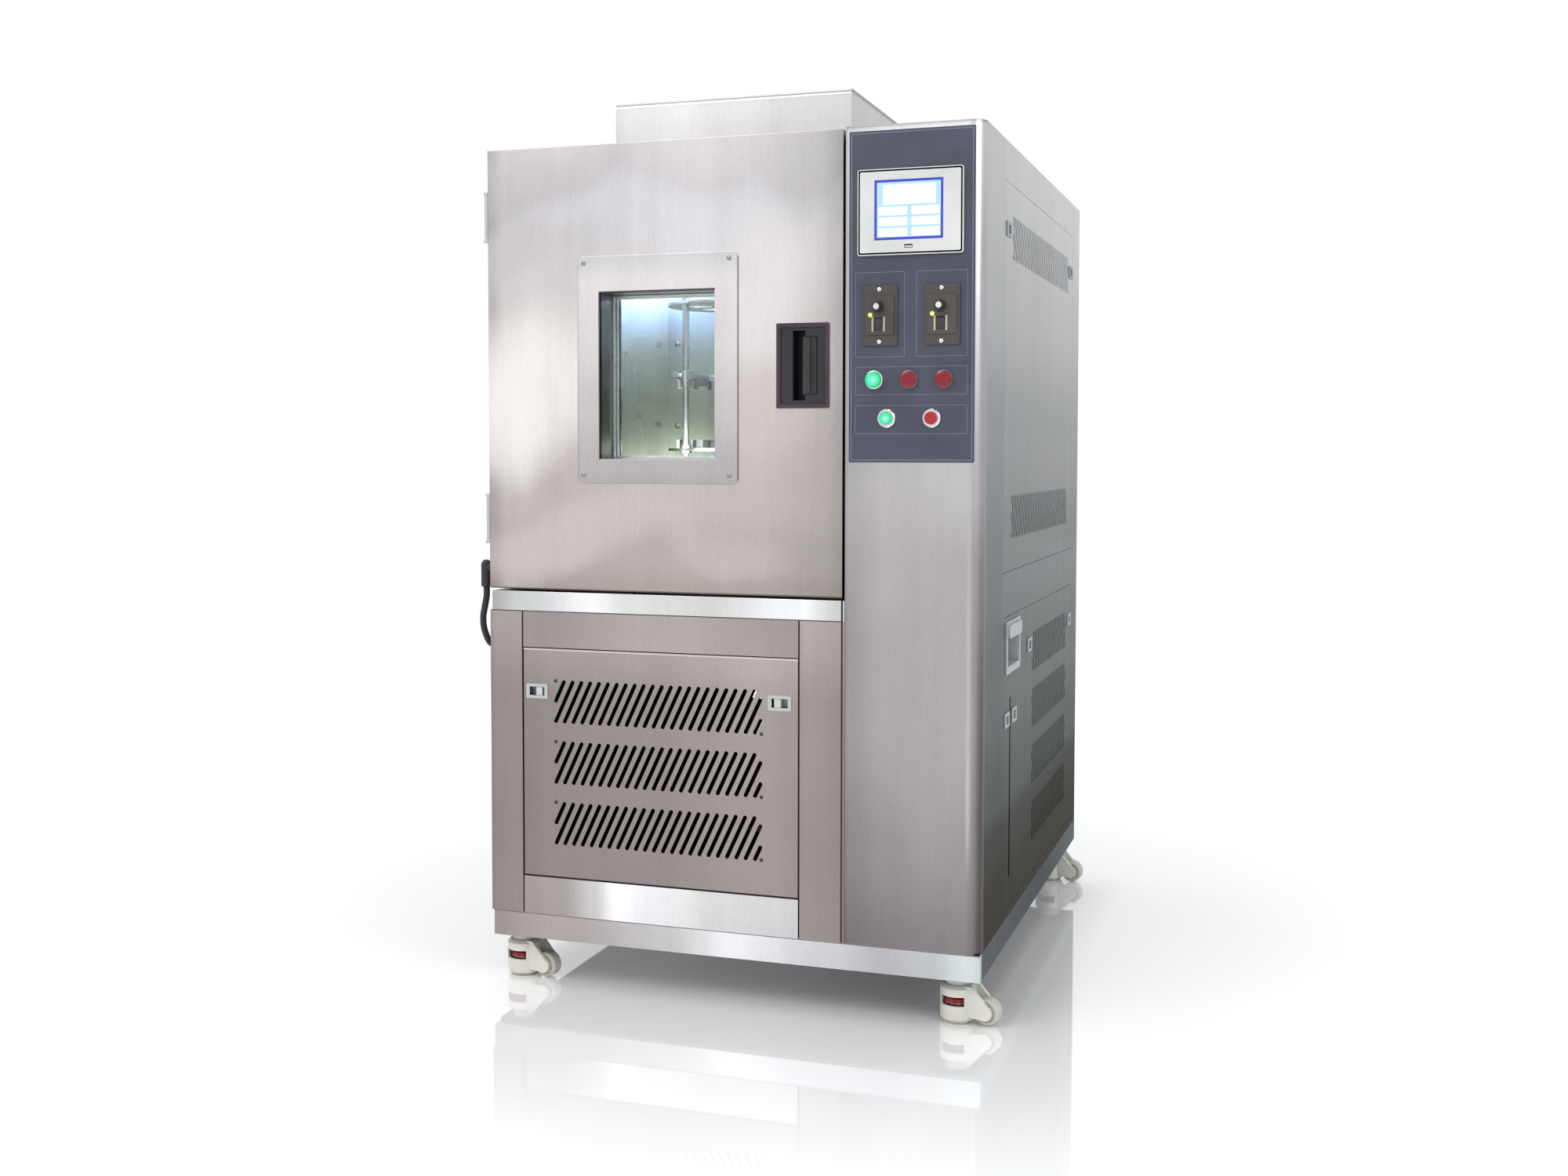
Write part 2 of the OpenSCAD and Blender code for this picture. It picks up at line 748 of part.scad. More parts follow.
module knob(s) {
    face = -speed_front - pass_clear;
    color(charcoal) in_place() translate([panel_cx + s * speed_offset + knob_dx, 0, speed_z + knob_dz]) {
        difference() {
            union() {
                pin_y(0, face - knob_l + pass_clear, face - 3, 0, knob_r - 1.5);
                pin_y(0, face - 3.5, face, 0, knob_r);
            }
            block(-0.6, 0.6, face - knob_l - 1, face - knob_l + 1.2, 1, knob_r);
        }
        pin_y(0, face - 0.5, face + 11, 0, 3);
    }
}
module turntable_knob() { knob(-1); }
module stretch_knob() { knob(1); }

module rocker(s) {
    color([0.08, 0.08, 0.09]) in_place()
        translate([panel_cx + s * speed_offset + rocker_dx, rocker_pivot_in - speed_front, speed_z + rocker_dz])
        rotate([rocker_tilt, 0, 0]) sideways(-rocker_w / 2, rocker_w / 2)
        polygon([[-3.8, 9.2], [-2.6, 1], [-2.6, -1], [-3.8, -9.2], [4, -7], [7, 0], [4, 7]]);
}
module turntable_switch() { rocker(-1); }
module stretch_switch() { rocker(1); }

module pilot_lamps() {
    for (k = [-1 : 1]) color(k < 0 ? "limegreen" : "firebrick") in_place() translate([lamp_x + k * lamp_pitch, 0, lamp_z]) {
        rotate([90, 0, 0]) rotate_extrude() polygon([
            [0, -30], [9.5, -30], [9.5, panel_t - 1], [button_hole_r - 0.1, panel_t - 1], [button_hole_r - 0.1, panel_t],
            [button_ring_r, panel_t], [button_ring_r, panel_t + 1.5], [button_ring_r - 1.5, panel_t + 3],
            [11.4, panel_t + 3], [11.4, panel_t + 8], [10.4, panel_t + 9], [0, panel_t + 9]
        ]);
    }
}

module button_rings() {
    color("silver") in_place() for (s = [-1, 1]) translate([button_x + s * button_pitch / 2, 0, button_z])
        rotate([90, 0, 0]) rotate_extrude() polygon([
            [button_cap_r + run_clear, -20], [button_hole_r - 0.1, -20], [button_hole_r - 0.1, panel_t],
            [button_ring_r, panel_t], [button_ring_r, panel_t + 2], [button_ring_r - 1.5, panel_t + ring_t],
            [button_cap_r + run_clear, panel_t + ring_t]
        ]);
}

module push_button(s) {
    color(s < 0 ? "limegreen" : "firebrick") in_place() translate([button_x + s * button_pitch / 2, 0, button_z])
        rotate([90, 0, 0]) rotate_extrude() polygon([
            [0, -16], [button_cap_r, -16], [button_cap_r, panel_t + cap_out - 1],
            [button_cap_r - 1, panel_t + cap_out], [0, panel_t + cap_out]
        ]);
}
module start_button() { push_button(-1); }
module stop_button() { push_button(1); }

module electrics() {
    x0 = column_x;
    back_t = 3;
    x1 = x0 + back_t;
    y0 = seam_y + 57;
    y1 = body_d - 112;
    z0 = upper_z0 + 30;
    z1 = upper_z1 - 30;
    w = y1 - y0;
    h = z1 - z0;
    color([0.75, 0.76, 0.75]) in_place() block(x0, x1, y0, y1, z0, z1);
    color([0.85, 0.86, 0.84]) in_place() {
        // Controller, power supply and ozone generator, at shares of the back plate
        block(x1, x1 + 70, y0 + 0.06 * w, y0 + 0.28 * w, z0 + 0.74 * h, z0 + 0.93 * h);
        block(x1, x1 + 55, y0 + 0.35 * w, y0 + 0.58 * w, z0 + 0.74 * h, z0 + 0.92 * h);
        block(x1, x1 + 120, y0 + 0.65 * w, y0 + 0.94 * w, z0 + 0.57 * h, z0 + 0.93 * h);
        // Row of contactors on a rail
        block(x1, x1 + 7, y0 + 0.04 * w, y0 + 0.58 * w, z0 + 0.52 * h, z0 + 0.58 * h);
        for (k = [0 : 5]) block(x1 + 7, x1 + 82, y0 + (0.06 + 0.088 * k) * w, y0 + (0.12 + 0.088 * k) * w,
            z0 + 0.48 * h, z0 + 0.62 * h);
        // Terminal strip
        for (k = [0 : 23]) block(x1, x1 + 42, y0 + (0.05 + 0.022 * k) * w, y0 + (0.07 + 0.022 * k) * w,
            z0 + 0.2 * h, z0 + 0.28 * h);
    }
}

// Machine space

module condensing_unit() {
    pot_r = 88;
    foot_w = 110;
    foot_d = 90;
    foot_t = 4;
    shroud_in = 25;
    color([0.12, 0.12, 0.13]) in_place() translate([compressor_x, compressor_y, base_h]) {
        block(-foot_w, foot_w, -foot_d, foot_d, 0, foot_t);
        translate([0, 0, foot_t]) rotate_extrude() polygon(concat(
            [[0, 0], [pot_r - 8, 0], [pot_r, 12], [pot_r, 150]],
            [for (a = [0 : 15 : 90]) [pot_r * cos(a), 150 + 60 * sin(a)]]
        ));
    }
    color([0.75, 0.75, 0.77]) in_place() difference() {
        block(condenser_x0, condenser_x1, condenser_y0, condenser_y1, base_h, base_h + condenser_h);
        pin_x(condenser_x0 + shroud_in, condenser_x1 + 1, fan_y, base_h + fan_lift, fan_r + 12);
        pin_x(condenser_x0 - 1, condenser_x1, fan_y, base_h + fan_lift, 5 + run_clear);
    }
}

module condenser_fan() {
    hub_r = 34;
    hub_t = 24;
    hub_x = condenser_x1 - 18;
    color([0.2, 0.2, 0.22]) in_place() translate([hub_x, fan_y, base_h + fan_lift]) {
        pin_x(-hub_t / 2, hub_t / 2, 0, 0, hub_r);
        pin_x(-46, 0, 0, 0, 5);
        for (a = [0 : 72 : 288]) rotate([a, 0, 0]) translate([-7, hub_r - 4, -14])
            rotate([0, 28, 0]) cube([2.5, fan_r - hub_r + 4, 30]);
    }
}

module circulation_fan() {
    hub_y = baffle_y + 16;
    color(bright_steel) in_place() translate([rack_x, 0, fan_z()]) {
        difference() {
            union() {
                pin_y(0, hub_y + 40, hub_y + 42, 0, 90);
                for (a = [0 : 30 : 330]) rotate([0, a, 0]) block(58, 86, hub_y, hub_y + 41, -1, 1);
            }
        }
        pin_y(0, hub_y + 41.5, chamber_back + 108, 0, shaft_r);
    }
}

// Door

module door_cuts(extra) {
    block(win_x0 - extra, win_x1 + extra, -window_plate_t - 1, door_t + plug_t + 1,
        win_z0 - extra, win_z1 + extra);
}

module door_skin() {
    back = door_t - sheet_t;
    color(steel) in_place() difference() {
        tray(0, door_w, 0, back, door_z, door_top);
        door_cuts(pane_lap + 0.5);
        block(handle_x + handle_wall, handle_x + handle_w - handle_wall, -1, 3,
            handle_z + handle_wall, handle_z + handle_h - handle_wall);
    }
}

module door_liner() {
    back = door_t;
    edge = 15;
    plug_x0 = room_x0 + edge;
    plug_x1 = room_x1 - edge;
    plug_z0 = room_z0 + edge;
    plug_z1 = room_z1 - edge;
    color(bright_steel) in_place() difference() {
        union() {
            block(0, door_w, back - sheet_t, back, door_z, door_top);
            block(plug_x0, plug_x1, back - sheet_t, back + plug_t, plug_z0, plug_z1);
            block(win_x0 - sheet_t, win_x1 + sheet_t, glass_t, back, win_z0 - sheet_t, win_z1 + sheet_t);
        }
        difference() {
            block(plug_x0 + sheet_t, plug_x1 - sheet_t, back - sheet_t - 1, back + plug_t - sheet_t,
                plug_z0 + sheet_t, plug_z1 - sheet_t);
            block(win_x0 - sheet_t, win_x1 + sheet_t, back - sheet_t - 2, back + plug_t,
                win_z0 - sheet_t, win_z1 + sheet_t);
        }
        door_cuts(0);
    }
}

module window_frame() {
    color(bright_steel) in_place() difference() {
        front_plate(win_x0 - window_rim, win_x1 + window_rim, -window_plate_t, 0,
            win_z0 - window_rim, win_z1 + window_rim_top, window_corner_r);
        door_cuts(0);
    }
}

module window_glass() {
    inner_y = door_t + plug_t - 10;
    color([0.8, 0.9, 0.9, 0.35]) in_place() {
        block(win_x0 - pane_lap, win_x1 + pane_lap, 0, glass_t, win_z0 - pane_lap, win_z1 + pane_lap);
        block(win_x0, win_x1, inner_y, inner_y + glass_t, win_z0, win_z1);
    }
}

module latch_housing() {
    x0 = handle_x;
    x1 = handle_x + handle_w;
    z0 = handle_z;
    z1 = handle_z + handle_h;
    mid = (z0 + z1) / 2;
    back = handle_depth + handle_wall;
    clear = 1;
    color([0.34, 0.24, 0.31]) in_place() difference() {
        union() {
            front_plate(x0, x1, -handle_lip, 0, z0, z1, 2);
            block(x0 + handle_wall + 0.3, x1 - handle_wall - 0.3, -1, back, z0 + handle_wall + 0.3, z1 - handle_wall - 0.3);
        }
        block(x0 + handle_inset, x1 - handle_inset - 1.3, -handle_lip - 1, -1.2, z0 + 6.3, z1 - 7.5);
        block(finger_x, paddle_x1 + clear, -handle_lip - 1, handle_depth, mid - finger_h / 2, mid + finger_h / 2);
    }
    // Charcoal filler plates above and below the paddle carry its pin
    color(charcoal) in_place() for (s = [-1, 1]) difference() {
        block(paddle_x0 + 4, paddle_x1 + clear, -1, handle_depth,
            s < 0 ? mid - finger_h / 2 : mid + paddle_h / 2 + pass_clear,
            s < 0 ? mid - paddle_h / 2 - pass_clear : mid + finger_h / 2);
        translate([paddle_pin_x, paddle_pin_y, mid - finger_h]) cylinder(r = paddle_pin_r + run_clear, h = 2 * finger_h);
    }
}

module latch_paddle() {
    mid = handle_z + handle_h / 2;
    bar_w = 11.8;
    color(charcoal) in_place() {
        difference() {
            union() {
                block(paddle_x0, paddle_x1 - 6, 2, 8, paddle_z0, paddle_z0 + paddle_h);
                block(paddle_x0, paddle_x0 + bar_w, -2, 3, paddle_z0 + 2, paddle_z0 + paddle_h - 2);
                translate([paddle_pin_x, paddle_pin_y, paddle_z0]) cylinder(r = paddle_pin_r + 1.8, h = paddle_h);
            }
        }
        translate([paddle_pin_x, paddle_pin_y, mid - finger_h / 2 + 1]) cylinder(r = paddle_pin_r, h = finger_h - 2);
    }
}

module door_gasket() {
    edge = 20;
    y0 = door_t;
    y1 = door_t + gasket_t;
    color([0.85, 0.85, 0.83]) in_place() difference() {
        front_plate(edge, door_w - edge, y0, y1, door_z + edge, door_top - edge, 14);
        front_plate(edge + gasket_w, door_w - edge - gasket_w, y0 - 1, y1 + 1, door_z + edge + gasket_w, door_top - edge - gasket_w, 6);
    }
}

module hinge_bases() {
    knuckle = 20;
    cap = 4;
    leaf_t = 2;
    color("silver") in_place() for (z = hinge_levels) {
        block(-leaf_t - pass_clear, 0, flange_y, flange_y + 54, z - hinge_span / 2, z + hinge_span / 2);
        for (s = [-1, 1]) {
            z0 = s < 0 ? z - hinge_span / 2 : z + hinge_span / 2 - knuckle;
            block(-leaf_t - pass_clear, -pass_clear, hinge_y, flange_y + 1, z0, z0 + knuckle);
            translate([hinge_x, hinge_y, z0]) cylinder(r = hinge_r, h = knuckle);
            translate([hinge_x, hinge_y, s < 0 ? z0 - cap : z0 + knuckle]) cylinder(r = hinge_cap_r, h = cap);
            block(hinge_x, -pass_clear, hinge_y, hinge_y + 2, z0, z0 + knuckle);
        }
        translate([hinge_x, hinge_y, z - hinge_span / 2]) cylinder(r = hinge_pin_r, h = hinge_span);
    }
}

module hinge_leaves() {
    knuckle = hinge_span - 40 - 2 * pass_clear;
    color("silver") in_place() for (z = hinge_levels) difference() {
        union() {
            translate([hinge_x, hinge_y, z - knuckle / 2]) cylinder(r = hinge_r, h = knuckle);
            block(hinge_x, 0, hinge_y + 1, hinge_y + 3, z - knuckle / 2, z + knuckle / 2);
            block(-2, 0, hinge_y + 1, door_t - 16, z - knuckle / 2, z + knuckle / 2);
        }
        translate([hinge_x, hinge_y, z - hinge_span]) cylinder(r = hinge_pin_r + run_clear, h = 2 * hinge_span);
    }
}

// Lead from the door's heated frame and lamp to the machine space

module lead_boot() {
    color([0.08, 0.08, 0.08]) in_place() {
        translate([boot_x, boot_y, door_z]) cylinder(r = boot_r, h = boot_h - boot_r);
        translate([boot_x, boot_y, door_z + boot_h - boot_r]) sphere(r = boot_r);
        pin_x(boot_x, 0, boot_y, door_z + boot_h - boot_r - 4, boot_r - 1);
    }
}

function spline(p, i, t) = let(
    a = p[max(i - 1, 0)], b = p[i], c = p[i + 1], d = p[min(i + 2, len(p) - 1)]
) 0.5 * (2 * b + (c - a) * t + (2 * a - 5 * b + 4 * c - d) * t * t + (3 * b - a - 3 * c + d) * t * t * t);
function route(p, n) = concat([for (i = [0 : len(p) - 2]) for (k = [0 : n - 1]) spline(p, i, k / n)], [p[len(p) - 1]]);
function unit(v) = v / norm(v);
function tangent(p, i) = unit(p[min(i + 1, len(p) - 1)] - p[max(i - 1, 0)]);
function ring(p, i, r, n) = let(t = tangent(p, i), u = unit(cross(t, [0.3, 1, 0.2])), v = cross(t, u))
    [for (k = [0 : n - 1]) p[i] + r * (cos(360 * k / n) * u + sin(360 * k / n) * v)];

module tube(p, r, n) {
    m = len(p);
    points = [for (i = [0 : m - 1]) each ring(p, i, r, n)];
    sides = [for (i = [0 : m - 2]) for (k = [0 : n - 1])
        [i * n + k, i * n + (k + 1) % n, (i + 1) * n + (k + 1) % n, (i + 1) * n + k]];
    ends = [[for (k = [n - 1 : -1 : 0]) k], [for (k = [0 : n - 1]) (m - 1) * n + k]];
    polyhedron(points = points, faces = concat(sides, ends));
}

module door_lead() {
    color([0.06, 0.06, 0.06]) in_place() tube(route(lead_points, lead_steps), lead_r, lead_sides);
}

module lead_gland() {
    color(charcoal) in_place() {
        pin_x(-lead_gland_out, 0, lead_gland_y, lead_gland_z, 10);
        pin_x(-1, 12, lead_gland_y, lead_gland_z, 7.5);
    }
}

// Lift-off panels

module side_panel(y0, y1, z0, z1) {
    difference() {
        block(body_w - panel_fold, body_w, y0, y1, z0, z1);
        block(body_w - panel_fold - 1, body_w - sheet_t, y0 + sheet_t, y1 - sheet_t, z0 + sheet_t, z1 - sheet_t);
        sideways(body_w - 5, body_w + 1) children();
    }
}

module catch_hole(y, z) {
    translate([y + 2, z + 2]) square([catch_h + 16 - 4, catch_h - 4]);
}

module upper_side_panel() {
    color(steel) in_place() side_panel(seam_y + panel_gap, upper_y1, upper_z0, upper_z1) {
        mirrored_rows(seam_y + 77, upper_y1 - 63, upper_z1 - 49, 1);
        mirrored_rows(seam_y + 77, upper_y1 - 63, upper_z0 + 126, 1);
        for (spot = upper_catches()) catch_hole(spot[0], spot[1]);
    }
}
function upper_catches() = [[seam_y + 20, upper_z1 - 88], [upper_y1 - 54, upper_z1 - 88]];

module lower_side_panel() {
    color(steel) in_place() side_panel(split_y + panel_gap, lower_y1, lower_z0, lower_z1) {
        mirrored_rows(split_y + 65, lower_y1 - 71, lower_z1 - 50, 4);
        for (spot = lower_catches()) catch_hole(spot[0], spot[1]);
    }
}
function lower_catches() = [[split_y + 14, lower_z1 - 82], [lower_y1 - 50, lower_z1 - 82]];

module water_panel() {
    color(steel) in_place() side_panel(lower_y0, split_y, lower_z0, lower_z1) {
        translate([lower_y0 + 18, lower_z1 - 56 - 36]) square([122, 80]);
        translate([lower_y0 + 56, lower_z0 + 49]) square([5, 302]);
        for (spot = water_catches()) catch_hole(spot[0], spot[1]);
    }
}
function water_catches() = [[lower_y0 + 6, lower_z1 - 184], [lower_y0 + 72, lower_z1 - 184]];

module side_catch(y, z) {
    w = catch_h + 16;
    difference() {
        union() {
            sideways(body_w, body_w + side_out) polygon(rounded(y, y + w, z, z + catch_h, 2));
            block(body_w - 9, body_w + 1, y + 2.3, y + w - 2.3, z + 2.3, z + catch_h - 2.3);
        }
        block(body_w - 4, body_w + 4, y + 10, y + w - 10, z + 5, z + catch_h - 5);
    }
    block(body_w - 4, body_w + 0.5, y + 10.3, y + 19, z + 5.3, z + catch_h - 5.3);
}

module side_panel_latches() {
    color(latch_grey) in_place() for (spot = concat(upper_catches(), lower_catches(), water_catches()))
        side_catch(spot[0], spot[1]);
}

module water_filler() {
    y0 = lower_y0 + 18;
    z0 = lower_z1 - 92;
    out = 6;
    color([0.9, 0.9, 0.9]) in_place() difference() {
        union() {
            sideways(body_w, body_w + 2) polygon(rounded(y0 - 4, y0 + 126, z0 - 4, z0 + 84, 5));
            block(body_w - 40, body_w + 1, y0 + 0.4, y0 + 121.6, z0 + 0.4, z0 + 79.6);
            sideways(body_w + 1, body_w + out) polygon(rounded(y0 + 4, y0 + 118, z0 + 56, z0 + 78, 8));
        }
        block(body_w - 37, body_w + 3, y0 + 8, y0 + 114, z0 + 8, z0 + 56);
    }
}

module front_grille() {
    x0 = grille_x0 + panel_gap;
    x1 = grille_x1 - panel_gap;
    z0 = kick_z + panel_gap;
    z1 = grille_z - panel_gap;
    y0 = 0.5;
    color(steel) in_place() difference() {
        tray(x0, x1, y0, y0 + panel_fold, z0, z1);
        upright(y0 - 1, y0 + 3) {
            slot_rows(slot_x0, slot_x1, slot_top_z, 3);
            for (x = [catch_left_x, catch_right_x]) translate([x + 2, catch_z + 2]) square([catch_w - 4, catch_h - 4]);
        }
    }
    color(latch_grey) in_place() for (x = [catch_left_x, catch_right_x]) grille_catch(x);
}

// Plastic bezel of a slide latch, open in the middle for its slider
module grille_catch(x) {
    difference() {
        union() {
            front_plate(x, x + catch_w, 0.5 - catch_out, 0.5, catch_z, catch_z + catch_h, 2);
            block(x + 2.2, x + catch_w - 2.2, 0.4, 11, catch_z + 2.2, catch_z + catch_h - 2.2);
        }
        block(x + 6, x + catch_w - 6, -3, 12, catch_z + 5, catch_z + catch_h - 5);
    }
}

module grille_latch(x, side) {
    mid = x + catch_w / 2;
    half_pad = 5.5;
    rest = mid - side * catch_travel / 2;
    reach = side < 0 ? grille_x0 + panel_gap + 2 : grille_x1 - panel_gap - 2;
    color(latch_grey) in_place() {
        block(rest - half_pad, rest + half_pad, -0.5, tongue_y + 1, catch_z + 5.3, catch_z + catch_h - 5.3);
        block(min(rest, reach), max(rest, reach), tongue_y, tongue_y + tongue_t, catch_z + 4, catch_z + catch_h - 4);
    }
}
module grille_latch_left() { grille_latch(catch_left_x, -1); }
module grille_latch_right() { grille_latch(catch_right_x, 1); }

// Rack

function rod_angles() = [239.3, 359.3, 119.3];
module at_rods() {
    for (a = rod_angles()) translate([rod_circle_r * cos(a), rod_circle_r * sin(a), 0]) children();
}

module rack_plate(z, t) {
    translate([0, 0, z]) difference() {
        cylinder(r = rack_r, h = t, $fn = 96);
        for (a = [0 : 60 : 300]) rotate([0, 0, a + 29.3]) translate([60, 0, -1]) cylinder(r = 20, h = t + 2);
    }
}

module rack_frame() {
    clamp_r = 96;
    color("silver") in_place() translate([rack_x, rack_y, 0]) {
        rack_plate(rack_low_z, 5);
        rack_plate(rack_top_z, 5);
        translate([0, 0, rack_low_z - 14]) cylinder(r = 22, h = 14.5);
        translate([0, 0, rack_top_z + 4.5]) cylinder(r = 22, h = 20);
        translate([0, 0, rack_top_z + 4.5]) cylinder(r = shaft_r, h = body_h + 22 - rack_top_z - 4.5);
        at_rods() translate([0, 0, rack_low_z - 10]) cylinder(r = rod_r, h = rack_top_z - rack_low_z + 25);
        at_rods() translate([0, 0, rack_low_z - 4]) cylinder(r = 11, h = 4.5);
        at_rods() translate([0, 0, rack_low_z + 4.5]) cylinder(r = 10, h = 6);
        for (a = [0 : 30 : 330]) rotate([0, 0, a + 14.3]) translate([clamp_r - 8, -7, rack_low_z + 4.5]) cube([16, 14, 16]);
    }
}

module clamp_carrier() {
    ring_in = 84;
    color("silver") in_place() translate([rack_x, rack_y, collar_z]) {
        difference() {
            union() {
                difference() {
                    translate([0, 0, 6]) cylinder(r = 104, h = 4, $fn = 96);
                    translate([0, 0, 5]) cylinder(r = ring_in, h = 6, $fn = 96);
                }
                at_rods() cylinder(r = 12, h = 18);
                at_rods() translate([0, 0, -6]) cylinder(r = 9, h = 7);
            }
            at_rods() translate([0, 0, -10]) cylinder(r = rod_r + run_clear, h = 40);
        }
        for (a = [0 : 30 : 330]) rotate([0, 0, a + 14.3]) translate([86, -7, -10]) cube([16, 14, 16.5]);
        for (a = rod_angles()) rotate([0, 0, a]) translate([0, 0, 11]) {
            translate([rod_circle_r + 11.5, 0, 0]) rotate([0, 90, 0]) cylinder(r = 3, h = 14);
            translate([rod_circle_r + 24, -9, -4]) cube([2, 18, 8]);
        }
    }
}

// Casters

module caster_arm(side) {
    v0 = side < 0 ? -arm_out : arm_in;
    translate([0, v0, 0]) {
        pin_y(trail, 0, arm_t, -axle_drop, boss_r);
        upright(0, arm_t) polygon([
            [10, -barrel_top], [barrel_r, -barrel_top], [trail + boss_r - 4, -axle_drop + 8],
            [trail, -axle_drop - boss_r + 1], [20, -axle_drop - 10], [10, -axle_drop + 4]
        ]);
    }
}

module caster_housing(spot) {
    cavity_r = barrel_r - 4;
    color(ivory) in_place() translate(spot) rotate([0, 0, caster_turn]) {
        difference() {
            union() {
                translate([0, 0, -barrel_top]) cylinder(r = 20, h = barrel_top - plate_t - pass_clear);
                translate([0, 0, -barrel_bottom]) rotate_extrude() polygon([
                    [0, 0], [barrel_r - 3, 0], [barrel_r, 4], [barrel_r, barrel_bottom - barrel_top - 5],
                    [barrel_r - 5, barrel_bottom - barrel_top], [0, barrel_bottom - barrel_top]
                ]);
                caster_arm(-1);
                caster_arm(1);
            }
            translate([0, 0, -barrel_bottom - 1]) cylinder(r = cavity_r, h = barrel_bottom - barrel_top - 3);
            translate([0, 0, -barrel_top - 8]) cylinder(r = swivel_pin_r + run_clear, h = 30);
            block(-19, 19, -barrel_r - 1, barrel_r + 1, -48, -33);
            pin_y(trail, -arm_in, arm_in, -axle_drop, wheel_r + 1.2);
        }
        pin_y(trail, -arm_in - 1, arm_in + 1, -axle_drop, axle_r);
    }
}

module caster_wheel(spot) {
    edge = wheel_edge;
    color([0.15, 0.15, 0.16]) in_place() translate(spot) rotate([0, 0, caster_turn])
        translate([trail, -wheel_w / 2, -axle_drop]) rotate([-90, 0, 0]) rotate_extrude() polygon([
            [axle_r + run_clear, 0], [8, 0], [8, 2], [wheel_r - 6, 2], [wheel_r - 5, 0], [wheel_r - edge, 0],
            [wheel_r, edge], [wheel_r, wheel_w - edge], [wheel_r - edge, wheel_w], [wheel_r - 5, wheel_w],
            [wheel_r - 6, wheel_w - 2], [8, wheel_w - 2], [8, wheel_w], [axle_r + run_clear, wheel_w]
        ]);
}

module levelling_foot(spot) {
    color([0.62, 0.1, 0.1]) in_place() translate(spot) {
        translate([0, 0, -stand_h]) cylinder(r = foot_r, h = foot_pad_h);
        translate([0, 0, -stand_h + foot_pad_h - 1]) cylinder(r = foot_screw_r, h = stand_h - foot_pad_h - 19);
        difference() {
            translate([0, 0, -dial_top - dial_h]) cylinder(r = dial_r, h = dial_h);
            for (a = [0 : 30 : 330]) rotate([0, 0, a])
                translate([dial_r + 1, 0, -dial_top - dial_h - 1]) cylinder(r = 3, h = dial_h + 2);
        }
    }
}

module caster_housing_front_left() { caster_housing(caster_spots[0]); }
module caster_housing_front_right() { caster_housing(caster_spots[1]); }
module caster_housing_rear_left() { caster_housing(caster_spots[2]); }
module caster_housing_rear_right() { caster_housing(caster_spots[3]); }
module caster_wheel_front_left() { caster_wheel(caster_spots[0]); }
module caster_wheel_front_right() { caster_wheel(caster_spots[1]); }
module caster_wheel_rear_left() { caster_wheel(caster_spots[2]); }
module caster_wheel_rear_right() { caster_wheel(caster_spots[3]); }
module levelling_foot_front_left() { levelling_foot(caster_spots[0]); }
module levelling_foot_front_right() { levelling_foot(caster_spots[1]); }
module levelling_foot_rear_left() { levelling_foot(caster_spots[2]); }
module levelling_foot_rear_right() { levelling_foot(caster_spots[3]); }

base_frame();
lower_front_frame();
carcass();
right_side_frame();
rear_panel();
control_column();
chamber_insulation();
chamber_liner();
air_baffle();
motor_box();
drive_motors();
control_panel();
touch_screen();
speed_controllers();
pilot_lamps();
button_rings();
electrics();
condensing_unit();
hinge_bases();
lead_gland();
door_lead();
upper_side_panel();
lower_side_panel();
water_panel();
side_panel_latches();
water_filler();
door_skin();
door_liner();
window_frame();
window_glass();
latch_housing();
hinge_leaves();
door_gasket();
lead_boot();
latch_paddle();
turntable_knob();
stretch_knob();
turntable_switch();
stretch_switch();
start_button();
stop_button();
front_grille();
grille_latch_left();
grille_latch_right();
rack_frame();
clamp_carrier();
circulation_fan();
condenser_fan();
caster_housing_front_left();
caster_housing_front_right();
caster_housing_rear_left();
caster_housing_rear_right();
caster_wheel_front_left();
caster_wheel_front_right();
caster_wheel_rear_left();
caster_wheel_rear_right();
levelling_foot_front_left();
levelling_foot_front_right();
levelling_foot_rear_left();
levelling_foot_rear_right();
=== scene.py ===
import math

import bmesh
import bpy
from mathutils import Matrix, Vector


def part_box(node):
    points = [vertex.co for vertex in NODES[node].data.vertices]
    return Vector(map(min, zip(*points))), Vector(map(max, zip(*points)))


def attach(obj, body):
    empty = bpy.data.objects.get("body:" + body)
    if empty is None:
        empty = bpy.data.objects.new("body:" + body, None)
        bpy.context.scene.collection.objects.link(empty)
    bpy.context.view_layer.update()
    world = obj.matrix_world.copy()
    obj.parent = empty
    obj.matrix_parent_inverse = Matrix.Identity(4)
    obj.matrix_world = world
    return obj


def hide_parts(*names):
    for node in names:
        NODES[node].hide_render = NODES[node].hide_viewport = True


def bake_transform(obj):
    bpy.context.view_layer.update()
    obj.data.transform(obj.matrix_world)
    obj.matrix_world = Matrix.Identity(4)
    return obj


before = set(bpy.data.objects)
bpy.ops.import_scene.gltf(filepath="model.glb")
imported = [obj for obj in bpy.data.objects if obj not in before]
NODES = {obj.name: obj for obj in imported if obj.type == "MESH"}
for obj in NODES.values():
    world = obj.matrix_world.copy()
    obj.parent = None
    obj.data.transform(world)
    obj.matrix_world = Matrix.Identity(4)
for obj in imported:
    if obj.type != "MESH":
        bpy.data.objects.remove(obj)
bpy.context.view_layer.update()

# The cabinet's corner in metres: its left side, its front face and the underside of its base strip
CORNER_X, CORNER_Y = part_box("door_skin")[0].xy
CORNER_Z = 0.078

# Size of the cabinet and seams of its sheets, in mm from that corner
BODY_W = 845
BODY_H = 1331
COLUMN_X = 621
LEFT_POST_SEAM = 60.2
RIGHT_POST_SEAM = 549.8
KICK_SEAM = 107
DECK_SEAM = 556.6
DOOR_SEAM = 594.5


